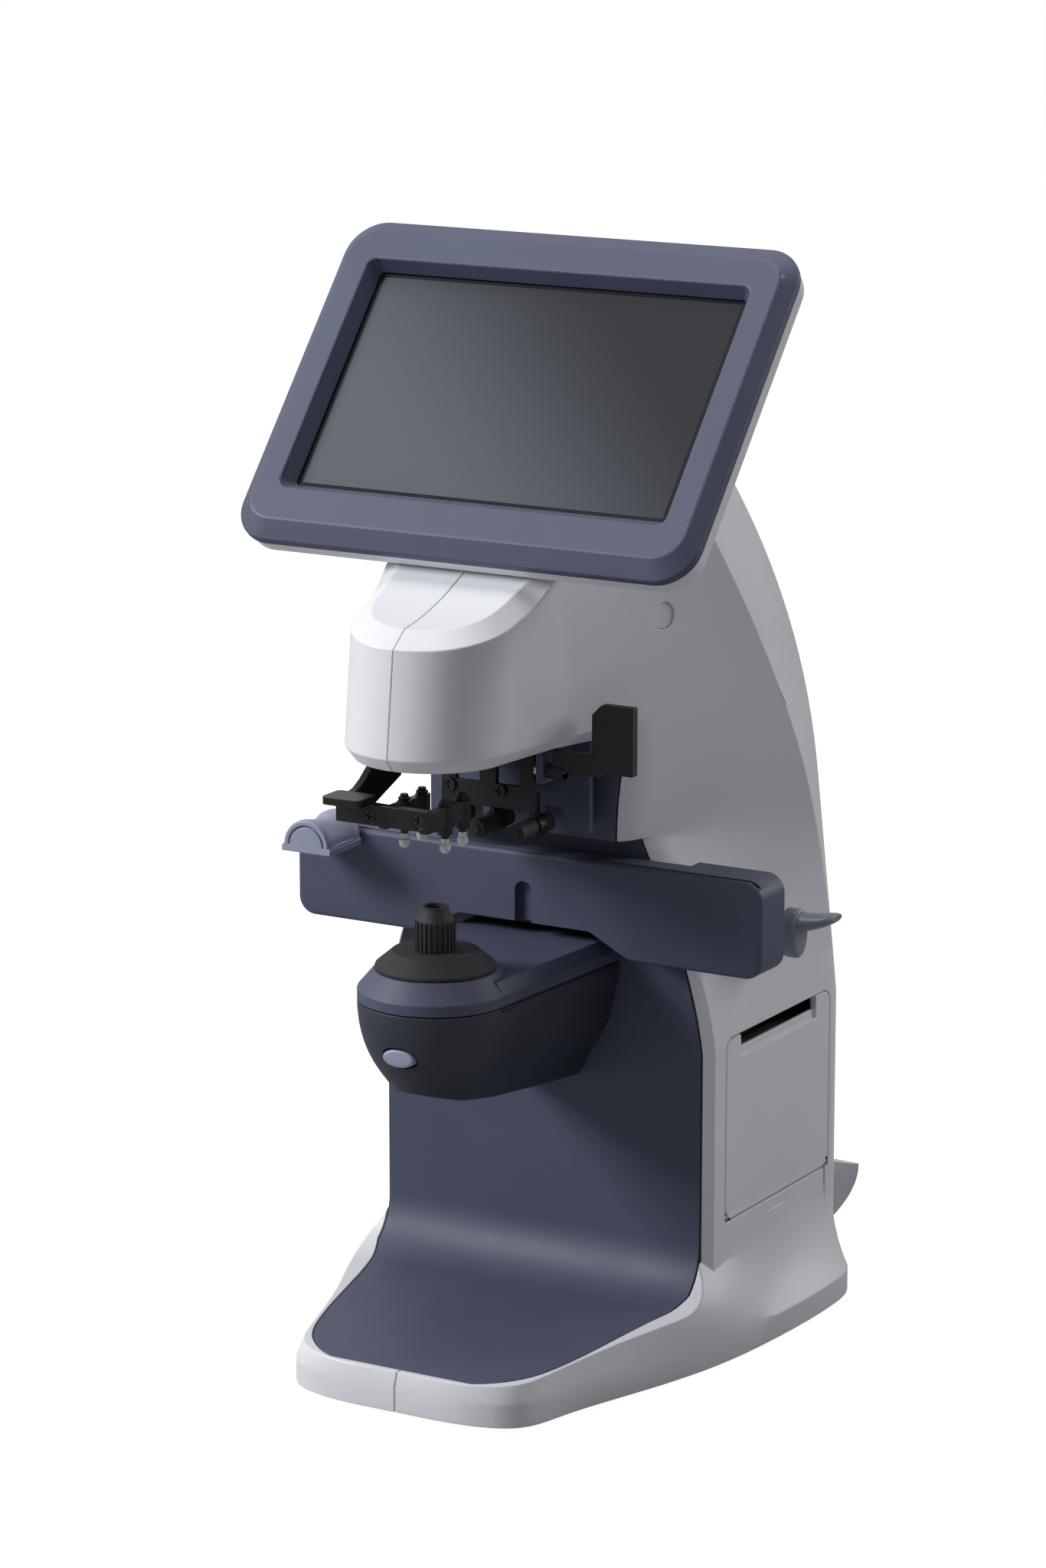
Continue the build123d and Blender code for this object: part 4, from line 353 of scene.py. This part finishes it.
@dataclass(frozen=True)
class MouldedFinish(Finish):
    """Moulded plastic, rubber or paint with a fine grain.

    Attributes:
        name: Material name.
        colour: Linear colour.
        roughness: Base roughness.
        tone: How much the colour drifts.
        grain: Grain frequency per metre.
        depth: Grain depth in metres.
        strength: Bump strength.
        wear: Amount of edge wear.
        dust: Amount of dust.
        coat: Weight of a clear coat.
        specular: Specular level.
    """

    name: str
    colour: Colour
    roughness: float = 0.45
    tone: float = 0.06
    grain: float = 2500.0
    depth: float = 0.00003
    strength: float = 0.35
    wear: float = 0.12
    dust: float = 0.03
    coat: float = 0.0
    specular: float = 0.5

    def _build(self) -> bpy.types.Material:
        """Grain, then wear on the edges, then a little dust."""
        made, tree, shader = self._start()
        grain = place_node(tree, "ShaderNodeGroup", node_tree=EFFECTS.get("grain"))
        wear = place_node(tree, "ShaderNodeGroup", node_tree=EFFECTS.get("wear"))
        dust = place_node(tree, "ShaderNodeGroup", node_tree=EFFECTS.get("dust"))
        worn = tuple(min(1.0, 1.25 * c + 0.05) for c in self.colour)
        for key, value in {"Color": (*self.colour, 1.0), "Tone": self.tone, "Grain Size": self.grain,
                           "Roughness": self.roughness, "Roughness Swing": 0.08}.items():
            grain.inputs[key].default_value = value
        wear.inputs["Worn Color"].default_value = (*worn, 1.0)
        wear.inputs["Amount"].default_value = self.wear
        dust.inputs["Dust Color"].default_value = (0.62, 0.61, 0.60, 1.0)
        dust.inputs["Amount"].default_value = self.dust
        tree.links.new(grain.outputs["Color"], wear.inputs["Color"])
        tree.links.new(wear.outputs["Color"], dust.inputs["Color"])
        tree.links.new(dust.outputs["Color"], shader.inputs["Base Color"])
        tree.links.new(grain.outputs["Roughness"], shader.inputs["Roughness"])
        self._bump(tree, shader, grain.outputs["Height"], self.depth, self.strength)
        shader.inputs["Specular IOR Level"].default_value = self.specular
        shader.inputs["Coat Weight"].default_value = self.coat
        shader.inputs["Coat Roughness"].default_value = 0.12
        return made


@dataclass(frozen=True)
class MetalFinish(Finish):
    """Brushed or plated metal.

    Attributes:
        name: Material name.
        colour: Linear colour.
        roughness: Base roughness.
        stretch: Frequencies of the brush lines along X, Y and Z.
    """

    name: str
    colour: Colour
    roughness: float = 0.3
    stretch: tuple[float, float, float] = (40.0, 900.0, 900.0)

    def _build(self) -> bpy.types.Material:
        """Brush lines in colour, roughness and height."""
        made, tree, shader = self._start()
        brushed = place_node(tree, "ShaderNodeGroup", node_tree=EFFECTS.get("brushed"))
        brushed.inputs["Color"].default_value = (*self.colour, 1.0)
        brushed.inputs["Roughness"].default_value = self.roughness
        brushed.inputs["Stretch"].default_value = self.stretch
        tree.links.new(brushed.outputs["Color"], shader.inputs["Base Color"])
        tree.links.new(brushed.outputs["Roughness"], shader.inputs["Roughness"])
        self._bump(tree, shader, brushed.outputs["Height"], 0.00001, 0.2)
        shader.inputs["Metallic"].default_value = 1.0
        return made


@dataclass(frozen=True)
class ClearFinish(Finish):
    """Clear glass or silicone.

    Attributes:
        name: Material name.
        colour: Linear tint.
        roughness: Surface roughness.
        ior: Index of refraction.
        cloud: How milky the body looks, from 0 to 1.
    """

    name: str
    colour: Colour
    roughness: float = 0.05
    ior: float = 1.45
    cloud: float = 0.0

    def _build(self) -> bpy.types.Material:
        """Transmission with faint drifts of colour and small smears."""
        made, tree, shader = self._start()
        grain = place_node(tree, "ShaderNodeGroup", node_tree=EFFECTS.get("grain"))
        for key, value in {"Color": (*self.colour, 1.0), "Tone": 0.04, "Grain Size": 600.0,
                           "Roughness": self.roughness, "Roughness Swing": 0.05}.items():
            grain.inputs[key].default_value = value
        tree.links.new(grain.outputs["Color"], shader.inputs["Base Color"])
        tree.links.new(grain.outputs["Roughness"], shader.inputs["Roughness"])
        shader.inputs["Transmission Weight"].default_value = 1.0 - self.cloud
        shader.inputs["IOR"].default_value = self.ior
        return made


@dataclass(frozen=True)
class BoardFinish(Finish):
    """Lacquered circuit board.

    Attributes:
        name: Material name.
        colour: Linear lacquer colour.
    """

    name: str
    colour: Colour

    def _build(self) -> bpy.types.Material:
        """Tracks under lacquer."""
        made, tree, shader = self._start()
        board = place_node(tree, "ShaderNodeGroup", node_tree=EFFECTS.get("board"))
        board.inputs["Color"].default_value = (*self.colour, 1.0)
        tree.links.new(board.outputs["Color"], shader.inputs["Base Color"])
        self._bump(tree, shader, board.outputs["Height"], 0.00003, 0.4)
        shader.inputs["Roughness"].default_value = 0.3
        return made


@dataclass(frozen=True)
class DisplayFinish(Finish):
    """A dark display that is off, with a painted reflection that makes it paler towards its lower left
    corner.

    Attributes:
        name: Material name.
        colour: Linear colour of the dark upper part.
        reflection_colour: Linear colour of the painted reflection at the paler lower left corner.
        centre: The display's middle, in metres.
        half: Half of the lit area's width and height, in metres.
        tilt: The display's lean back from upright, in degrees.
        slant: How much more a step up counts in the painted reflection's ramp than a step across.
        border: Linear colour round the lit area.
    """

    name: str
    colour: Colour
    reflection_colour: Colour
    centre: tuple[float, float, float]
    half: tuple[float, float]
    tilt: float
    slant: float = 1.1
    border: Colour = (0.004, 0.004, 0.005)

    def _build(self) -> bpy.types.Material:
        """A painted reflection as a slow ramp across the face, a dark border and faint smears in the
        roughness.
        """
        made, tree, shader = self._start()
        place = place_node(tree, "ShaderNodeTexCoord").outputs["Object"]
        away = place_node(tree, "ShaderNodeVectorMath", {0: place, 1: self.centre}, operation="SUBTRACT")
        lean = math.radians(self.tilt)
        up = (0.0, math.sin(lean), math.cos(lean))
        across = place_node(tree, "ShaderNodeSeparateXYZ", {0: away.outputs[0]}).outputs["X"]
        height = place_node(tree, "ShaderNodeVectorMath", {0: away.outputs[0], 1: up},
                            operation="DOT_PRODUCT").outputs["Value"]
        slant = place_node(tree, "ShaderNodeMath", {0: height, 1: self.slant, 2: across},
                           operation="MULTIPLY_ADD")
        # Painted reflection: the face turns from the dark colour to the pale reflection colour towards the
        # lower left corner.
        reflection_ramp = place_node(tree, "ShaderNodeMapRange", {"Value": slant.outputs[0], "From Min": self.half[0],
                                                       "From Max": -self.half[0]})
        reflection_ramp.interpolation_type = "SMOOTHSTEP"
        dark = place_node(tree, "ShaderNodeMix", {MIX_SHARE: reflection_ramp.outputs[0], MIX_FROM: (*self.colour, 1.0),
                                                  MIX_TO: (*self.reflection_colour, 1.0)}, data_type="RGBA")
        inside = []
        for distance, limit in ((across, self.half[0]), (height, self.half[1])):
            size = place_node(tree, "ShaderNodeMath", {0: distance}, operation="ABSOLUTE")
            inside.append(place_node(tree, "ShaderNodeMath", {0: size.outputs[0], 1: limit},
                                     operation="LESS_THAN").outputs[0])
        lit = place_node(tree, "ShaderNodeMath", {0: inside[0], 1: inside[1]}, operation="MULTIPLY")
        mixed = place_node(tree, "ShaderNodeMix", {MIX_SHARE: lit.outputs[0], MIX_FROM: (*self.border, 1.0),
                                                   MIX_TO: dark.outputs[MIX_COLOUR]}, data_type="RGBA")
        smear = place_node(tree, "ShaderNodeTexNoise", {"Vector": place, "Scale": 35.0, "Detail": 4.0})
        rough = place_node(tree, "ShaderNodeMapRange", {"Value": smear.outputs["Fac"], "To Min": 0.04,
                                                        "To Max": 0.12})
        tree.links.new(mixed.outputs[MIX_COLOUR], shader.inputs["Base Color"])
        tree.links.new(rough.outputs[0], shader.inputs["Roughness"])
        return made


class Palette:
    """Every finish of the object, by plain names."""

    shell = MouldedFinish("pale_casing", srgb("e3e5ea"), roughness=0.38, tone=0.015, grain=3200.0,
                          depth=0.00001, strength=0.15, wear=0.0, dust=0.02)
    panel = MouldedFinish("navy_panel", srgb("454b62"), roughness=0.55, tone=0.10, grain=2600.0,
                          strength=0.45, wear=0.08)
    bezel = MouldedFinish("navy_bezel", srgb("424860"), roughness=0.50, tone=0.12, grain=2000.0,
                          strength=0.6, wear=0.08)
    lower_cover = MouldedFinish("dark_cover", srgb("262b38"), roughness=0.55, tone=0.10, strength=0.45,
                                 dust=0.01)
    lavender = MouldedFinish("lavender_trim", srgb("979cb4"), roughness=0.42, tone=0.05, strength=0.3)
    lever = MouldedFinish("grey_lever", srgb("7c8091"), roughness=0.4, tone=0.05, strength=0.3)
    black = MouldedFinish("black_plastic", srgb("131316"), roughness=0.40, tone=0.12, strength=0.3,
                          wear=0.08, dust=0.006, specular=0.35)
    black_paint = MouldedFinish("black_paint", srgb("101012"), roughness=0.34, tone=0.15, grain=1800.0,
                                strength=0.35, wear=0.1, dust=0.006, specular=0.4)
    rubber = MouldedFinish("black_rubber", srgb("181818"), roughness=0.75, tone=0.2, strength=0.5, wear=0.0)
    paper = MouldedFinish("thermal_paper", srgb("ecebe6"), roughness=0.7, tone=0.02, grain=1500.0, wear=0.0)
    cast = MouldedFinish("cast_metal", srgb("9a9da3"), roughness=0.5, tone=0.1, grain=1500.0, strength=0.6)
    steel = MetalFinish("bright_steel", srgb("c4c5c8"), roughness=0.25)
    zinc = MetalFinish("plated_sheet", srgb("b4b7bb"), roughness=0.35, stretch=(120.0, 120.0, 120.0))
    glass = ClearFinish("clear_glass", (0.95, 0.98, 0.98), roughness=0.02, ior=1.5)
    silicone = ClearFinish("clear_silicone", srgb("e2e4e6"), roughness=0.12, ior=1.41, cloud=0.12)
    board = BoardFinish("lacquered_board", srgb("1f5a3a"))
    display = DisplayFinish("dark_display", srgb("25282e"), srgb("5a5f69"), (0.0, -0.0228, 0.3641),
                            (0.0752, 0.0452), 40.41)
    # Painted shade: near-black colour for the sheet in the gap round the navy panel.
    gap = MouldedFinish("gap_shadow", srgb("0c0c0e"), roughness=0.8, tone=0.1, wear=0.0, dust=0.0)


def redress(mesh: bpy.types.Mesh, finish: Finish) -> None:
    """Gives a copied mesh its finish and drops the normals that came with the pack.

    Args:
        mesh: The copy's mesh.
        finish: Its finish.
    """
    mesh.materials.clear()
    mesh.materials.append(finish.material())
    for name in [layer.name for layer in mesh.attributes if layer.name == PACKED_NORMALS]:
        mesh.attributes.remove(mesh.attributes[name])


class CadPiece:
    """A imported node, dressed as it is or through a copy with merged and rounded edges."""

    frame: Frame = {}
    slots: dict[str, str] = {}

    @classmethod
    def open(cls, frame: Frame) -> None:
        """Remembers the loaded frame.
        """
        cls.frame = frame
        cls.slots = {part["node"]: part["material_slot"] for part in frame["record"]["subparts"]}

    @classmethod
    def paint(cls, node: str, finish: Finish) -> bpy.types.Object:
        """Gives a node's own object a finish.

        Args:
            node: The node's name.
            finish: Its finish.

        Returns:
            The node's object.
        """
        piece = cls.frame["nodes"][node]
        piece.data.materials.clear()
        piece.data.materials.append(finish.material())
        LOG.info("%s is dressed in %s", node, finish.name)
        return piece

    @classmethod
    def soften(cls, node: str, finish: Finish, width: float = 0.0005, angle: float = 28.0,
               segments: int = 3) -> bpy.types.Object:
        """Stands a merged copy with rounded edges in a node's place.

        Args:
            node: The node's name.
            finish: The copy's finish.
            width: The rounding's width in metres.
            angle: The least turn between two faces, in degrees, that counts as an edge.
            segments: Faces across each rounding.

        Returns:
            The copy.
        """
        source = cls.frame["nodes"][node]
        mesh = source.data.copy()
        mesh.name = f"{node}_form"
        form = bmesh.new()
        form.from_mesh(mesh)
        bmesh.ops.remove_doubles(form, verts=form.verts, dist=MERGE_DISTANCE)
        bmesh.ops.dissolve_limit(form, angle_limit=math.radians(FLAT_TURN), verts=form.verts,
                                 edges=form.edges, delimit=set())
        form.to_mesh(mesh)
        form.free()
        redress(mesh, finish)
        mesh.shade_smooth()
        mesh.set_sharp_from_angle(angle=math.radians(angle))
        piece = bpy.data.objects.new(f"{node}_look", mesh)
        bpy.context.scene.collection.objects.link(piece)
        if width > 0:
            rounding = piece.modifiers.new("rounded_edges", "BEVEL")
            rounding.width = width
            rounding.segments = segments
            rounding.limit_method = "ANGLE"
            rounding.angle_limit = math.radians(angle)
            rounding.harden_normals = True
            rounding.use_clamp_overlap = False
        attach(piece, source["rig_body"])
        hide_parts(node)
        LOG.info("%s is dressed in %s with rounded edges", node, finish.name)
        return piece


@dataclass(frozen=True)
class Lamp:
    """A square area lamp that faces the object.

    Attributes:
        name: Its name.
        place: Its place in metres.
        side: Its side in metres.
        power: Its power in watts.
    """

    name: str
    place: tuple[float, float, float]
    side: float
    power: float


@dataclass
class Studio:
    """Camera, lamps, floor and world.

    Attributes:
        camera_place: The camera's place in metres.
        camera_turn: Its azimuth in degrees, from +Y towards -X.
        camera_dip: How far it looks down, in degrees.
        lens: Focal length in millimetres for a sensor 36 mm high.
        floor_reach: Half of the floor's side in metres.
        floor_drop: How far the floor lies below the feet, in metres.
        aim: The point that the lamps face, in metres.
        lamps: The lamps.
    """

    camera_place: tuple[float, float, float] = (0.92571, -1.61180, 0.65026)
    camera_turn: float = 30.187
    camera_dip: float = 13.204
    lens: float = 117.38
    floor_reach: float = 14.0
    floor_drop: float = 0.0002
    aim: tuple[float, float, float] = (0.0, 0.0, 0.22)
    lamps: tuple[Lamp, ...] = (
        Lamp("key_lamp", (-1.9, -1.5, 1.6), 1.0, 70.0),
        Lamp("side_lamp", (1.7, 1.9, 1.2), 1.2, 21.0),
        Lamp("top_lamp", (-0.2, 0.1, 2.3), 1.0, 20.0),
    )

    def build(self) -> None:
        """Sets up everything round the object."""
        self._camera()
        self._world()
        self._floor()
        for lamp in self.lamps:
            self._light(lamp)
        bpy.context.scene.view_settings.view_transform = "Standard"

    def _camera(self) -> None:
        """Camera at the photograph's viewing angle."""
        data = bpy.data.cameras.new("camera")
        data.sensor_fit = "VERTICAL"
        data.sensor_height = 36.0
        data.lens = self.lens
        data.clip_end = 50.0
        camera = bpy.data.objects.new("camera", data)
        camera.location = self.camera_place
        camera.rotation_euler = (math.radians(90.0 - self.camera_dip), 0.0, math.radians(self.camera_turn))
        bpy.context.scene.collection.objects.link(camera)
        bpy.context.scene.camera = camera

    def _light(self, lamp: Lamp) -> None:
        """Places a lamp and turns it to the object.

        Args:
            lamp: The lamp's measures.
        """
        data = bpy.data.lights.new(lamp.name, "AREA")
        data.size = lamp.side
        data.energy = lamp.power
        light = bpy.data.objects.new(lamp.name, data)
        light.location = lamp.place
        towards = Vector(self.aim) - Vector(lamp.place)
        light.rotation_euler = towards.to_track_quat("-Z", "Y").to_euler()
        bpy.context.scene.collection.objects.link(light)

    def _world(self) -> None:
        """White for the camera and for reflections, softer as light on the object."""
        world = bpy.data.worlds.new("studio_world")
        world.use_nodes = True
        bpy.context.scene.world = world
        tree = world.node_tree
        tree.nodes.clear()
        path = place_node(tree, "ShaderNodeLightPath")
        clear = place_node(tree, "ShaderNodeMath", {0: path.outputs["Is Camera Ray"],
                                                    1: path.outputs["Is Transmission Ray"]},
                           operation="MAXIMUM")
        seen = place_node(tree, "ShaderNodeMath", {0: path.outputs["Is Glossy Ray"], 1: 0.6,
                                                   2: clear.outputs[0]},
                          operation="MULTIPLY_ADD", use_clamp=True)
        soft = place_node(tree, "ShaderNodeBackground", {"Color": (0.93, 0.95, 1.0, 1.0), "Strength": 0.11})
        white = place_node(tree, "ShaderNodeBackground", {"Color": (1.0, 1.0, 1.0, 1.0), "Strength": 1.0})
        mix = place_node(tree, "ShaderNodeMixShader", {0: seen.outputs[0], 1: soft.outputs[0],
                                                       2: white.outputs[0]})
        place_node(tree, "ShaderNodeOutputWorld", {"Surface": mix.outputs[0]})

    def _floor(self) -> None:
        """Pale floor that keeps the object's soft shadow and fades into the white."""
        reach = self.floor_reach
        level = -self.floor_drop
        mesh = bpy.data.meshes.new("floor")
        corners = [(-reach, -reach, level), (reach, -reach, level), (reach, reach, level),
                   (-reach, reach, level)]
        mesh.from_pydata(corners, [], [(0, 1, 2, 3)])
        made = bpy.data.materials.new("pale_floor")
        made.use_nodes = True
        tree = made.node_tree
        tree.nodes.clear()
        place = place_node(tree, "ShaderNodeTexCoord").outputs["Object"]
        speck = place_node(tree, "ShaderNodeTexNoise", {"Vector": place, "Scale": 60.0})
        tint = place_node(tree, "ShaderNodeMix", {MIX_SHARE: speck.outputs["Fac"],
                                                  MIX_FROM: (0.34, 0.34, 0.35, 1),
                                                  MIX_TO: (0.38, 0.38, 0.39, 1)}, data_type="RGBA")
        plain = place_node(tree, "ShaderNodeBsdfDiffuse", {"Color": tint.outputs[MIX_COLOUR]})
        faint = place_node(tree, "ShaderNodeBsdfDiffuse", {"Color": (0.3, 0.3, 0.3, 1.0)})
        glow = place_node(tree, "ShaderNodeEmission", {"Color": (1, 1, 1, 1), "Strength": 0.96})
        both = place_node(tree, "ShaderNodeAddShader", {0: faint.outputs[0], 1: glow.outputs[0]})
        path = place_node(tree, "ShaderNodeLightPath")
        seen = place_node(tree, "ShaderNodeMath", {0: path.outputs["Is Camera Ray"],
                                                   1: path.outputs["Is Transmission Ray"]},
                          operation="MAXIMUM")
        mix = place_node(tree, "ShaderNodeMixShader", {0: seen.outputs[0], 1: plain.outputs[0],
                                                       2: both.outputs[0]})
        place_node(tree, "ShaderNodeOutputMaterial", {"Surface": mix.outputs[0]})
        mesh.materials.append(made)
        floor = bpy.data.objects.new("floor", mesh)
        bpy.context.scene.collection.objects.link(floor)


@dataclass
class PanelGapShade:
    """Painted shade: a near-black sheet in the gap round the navy panel, where there is only shade, grown
    from the panel's own outline.

    Attributes:
        bend_y: Y of the middle of the panel's bend, in metres.
        bend_z: Z of the middle of the bend.
        flat_end_y: Y where the toe's flat part meets the bend.
        toe_slope: Rise of the toe's flat part for each unit of Y.
        reach: How far the painted shade sheet stands out from the panel's edge.
        depth: How far its face lies behind the panel's face.
    """

    bend_y: float = -0.0280
    bend_z: float = 0.0465
    flat_end_y: float = -0.0261
    toe_slope: float = 0.089
    reach: float = 0.00044
    depth: float = 0.0004

    def _facing(self, place: Vector) -> Vector:
        """Gives the way that the panel's face looks.

        Args:
            place: A point on or near the panel.

        Returns:
            The face's outward direction there.
        """
        if place.z > self.bend_z:
            return Vector((0.0, -1.0, 0.0))
        if place.y < self.flat_end_y:
            return Vector((0.0, -self.toe_slope, 1.0)).normalized()
        return Vector((0.0, self.bend_y - place.y, self.bend_z - place.z)).normalized()

    def _step(self, vertex: bmesh.types.BMVert) -> Vector:
        """Works out how one vertex of the outline moves.

        Args:
            vertex: A vertex of the panel's copy.

        Returns:
            The move: out of the edge, and back from the face.
        """
        outward = Vector()
        in_front = False
        for face in vertex.link_faces:
            share = face.normal.dot(self._facing(face.calc_center_median()))
            if abs(share) < 0.6:
                outward += face.normal
            in_front = in_front or share >= 0.6
        step = outward.normalized() * self.reach if outward.length > 0 else outward
        back = self.depth if in_front else -self.depth
        return step - self._facing(vertex.co) * back

    def build(self) -> None:
        """Copies the panel, moves its outline and adds the painted shade sheet."""
        source = CadPiece.frame["nodes"]["front_panel"]
        mesh = source.data.copy()
        mesh.name = "panel_gap_shade"
        form = bmesh.new()
        form.from_mesh(mesh)
        bmesh.ops.remove_doubles(form, verts=form.verts, dist=MERGE_DISTANCE)
        form.normal_update()
        steps = [self._step(vertex) for vertex in form.verts]
        for vertex, step in zip(form.verts, steps):
            vertex.co += step
        form.to_mesh(mesh)
        form.free()
        # The sheet gets the painted shade colour of the gap.
        redress(mesh, Palette.gap)
        gap_shade_sheet = bpy.data.objects.new("panel_gap_shade", mesh)
        bpy.context.scene.collection.objects.link(gap_shade_sheet)
        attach(gap_shade_sheet, source["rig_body"])
        LOG.info("the panel's gap line is added")


@dataclass
class Casing:
    """Shells, navy panel, plugs, base and feet.

    Attributes:
        edge: Width of the shells' edge rounding in metres.
    """

    edge: float = 0.0005

    def dress(self) -> None:
        """Dresses the casing's nodes."""
        for node in ("left_shell", "right_shell"):
            CadPiece.soften(node, Palette.shell, self.edge, segments=2)
        CadPiece.soften("front_panel", Palette.panel, 0.0004, segments=2)
        # Painted shade: a near-black sheet in the gap round the navy panel.
        PanelGapShade().build()
        CadPiece.soften("side_plugs", Palette.shell, 0.0003, segments=2)
        CadPiece.paint("base_plate", Palette.zinc)
        CadPiece.soften("rubber_feet", Palette.rubber, 0.0005)
        CadPiece.soften("rear_plate", Palette.black, 0.0004)


@dataclass
class RearConnections:
    """Power inlet, switch and port."""

    def dress(self) -> None:
        """Dresses the nodes in the rear plate."""
        CadPiece.soften("power_inlet", Palette.black, 0.0003)
        CadPiece.soften("switch_body", Palette.black, 0.0003)
        CadPiece.soften("power_rocker", Palette.black, 0.0004)
        CadPiece.soften("communication_port", Palette.zinc, 0.0003)


@dataclass
class ScreenUnit:
    """Bezel, display, rear housing and tilt hinge."""

    def dress(self) -> None:
        """Dresses the screen's nodes."""
        CadPiece.soften("bezel", Palette.bezel, 0.0006)
        CadPiece.paint("display_glass", Palette.display)
        CadPiece.paint("display_module", Palette.zinc)
        CadPiece.soften("screen_rear_housing", Palette.shell, 0.0006)
        CadPiece.paint("tilt_bracket", Palette.zinc)
        CadPiece.paint("tilt_pin", Palette.steel)


@dataclass
class LensTable:
    """Table bar, carriage, rods, nose pad slider and side lever."""

    def dress(self) -> None:
        """Dresses the table's nodes."""
        CadPiece.soften("table_bar", Palette.panel, 0.0003)
        CadPiece.paint("table_carriage", Palette.black_paint)
        CadPiece.paint("table_rods", Palette.steel)
        CadPiece.soften("nose_pad_slider", Palette.lavender, 0.0004)
        CadPiece.soften("table_lever", Palette.lever, 0.0004)
        CadPiece.paint("lever_shaft", Palette.steel)


@dataclass
class LowerHousing:
    """Covers, memory button, nosepiece and flange."""

    def dress(self) -> None:
        """Dresses the lower housing's nodes."""
        CadPiece.soften("lower_cover", Palette.lower_cover, 0.0004)
        CadPiece.soften("top_cover", Palette.panel, 0.0004)
        CadPiece.soften("memory_button", Palette.lavender, 0.0004)
        CadPiece.paint("button_switch", Palette.black)
        CadPiece.soften("nosepiece_flange", Palette.black, 0.0003)
        CadPiece.paint("protective_glass", Palette.glass)
        CadPiece.soften("nosepiece", Palette.black, 0.00015, segments=2)


@dataclass
class LensHolder:
    """Arm, bar, screws and sprung pins."""

    def dress(self) -> None:
        """Dresses the holder's nodes."""
        CadPiece.soften("holder_arm", Palette.black_paint, 0.0003)
        CadPiece.soften("holder_bar", Palette.black_paint, 0.0003)
        CadPiece.soften("holder_screws", Palette.black_paint, 0.0001, segments=2)
        for number in range(1, 5):
            CadPiece.soften(f"pin_{number}", Palette.black_paint, 0.0001, segments=2)
            CadPiece.soften(f"pin_tip_{number}", Palette.silicone, 0.0002, segments=2)


@dataclass
class MarkingUnit:
    """Comb bracket, carriage, pens, lever and shaft."""

    def dress(self) -> None:
        """Dresses the marking unit's nodes."""
        CadPiece.soften("comb_bracket", Palette.panel, 0.0002, segments=2)
        for node in ("marker_carriage", "pen_arms"):
            CadPiece.soften(node, Palette.black_paint, 0.0002, segments=2)
        CadPiece.soften("carriage_screws", Palette.black_paint, 0.0001, segments=2)
        for node in ("ink_pens", "pen_caps"):
            CadPiece.soften(node, Palette.black, 0.0003)
        CadPiece.soften("marking_lever", Palette.black, 0.0005)
        CadPiece.paint("marking_shaft", Palette.steel)


@dataclass
class Printer:
    """Door, mechanism, platen and paper."""

    def dress(self) -> None:
        """Dresses the printer's nodes."""
        CadPiece.soften("printer_door", Palette.shell, 0.0005)
        CadPiece.paint("printer_mechanism", Palette.black)
        CadPiece.paint("platen_roller", Palette.rubber)
        CadPiece.paint("paper_roll", Palette.paper)


@dataclass
class Inside:
    """Main frame, rods, boards and optics."""

    def dress(self) -> None:
        """Dresses what the casing hides."""
        CadPiece.paint("main_frame", Palette.cast)
        CadPiece.paint("head_rods", Palette.steel)
        CadPiece.paint("main_board", Palette.board)
        CadPiece.paint("power_supply", Palette.zinc)
        CadPiece.paint("lamp_unit", Palette.black_paint)
        CadPiece.paint("collimator_lens", Palette.glass)
        CadPiece.paint("sensor_unit", Palette.black_paint)


def main() -> None:
    """Loads the frame, sets up the studio and dresses each sub-assembly in turn."""
    logging.basicConfig(level=logging.INFO, format="%(name)s: %(message)s")
    for left_over in list(bpy.data.objects):
        bpy.data.objects.remove(left_over)
    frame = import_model()
    CadPiece.open(frame)
    Studio().build()
    assemblies: Sequence[Any] = (Casing(), RearConnections(), ScreenUnit(), LensTable(), LowerHousing(),
                                 LensHolder(), MarkingUnit(), Printer(), Inside())
    for assembly in assemblies:
        LOG.info("dressing the %s", type(assembly).__name__)
        assembly.dress()


if __name__ == "__main__":
    main()
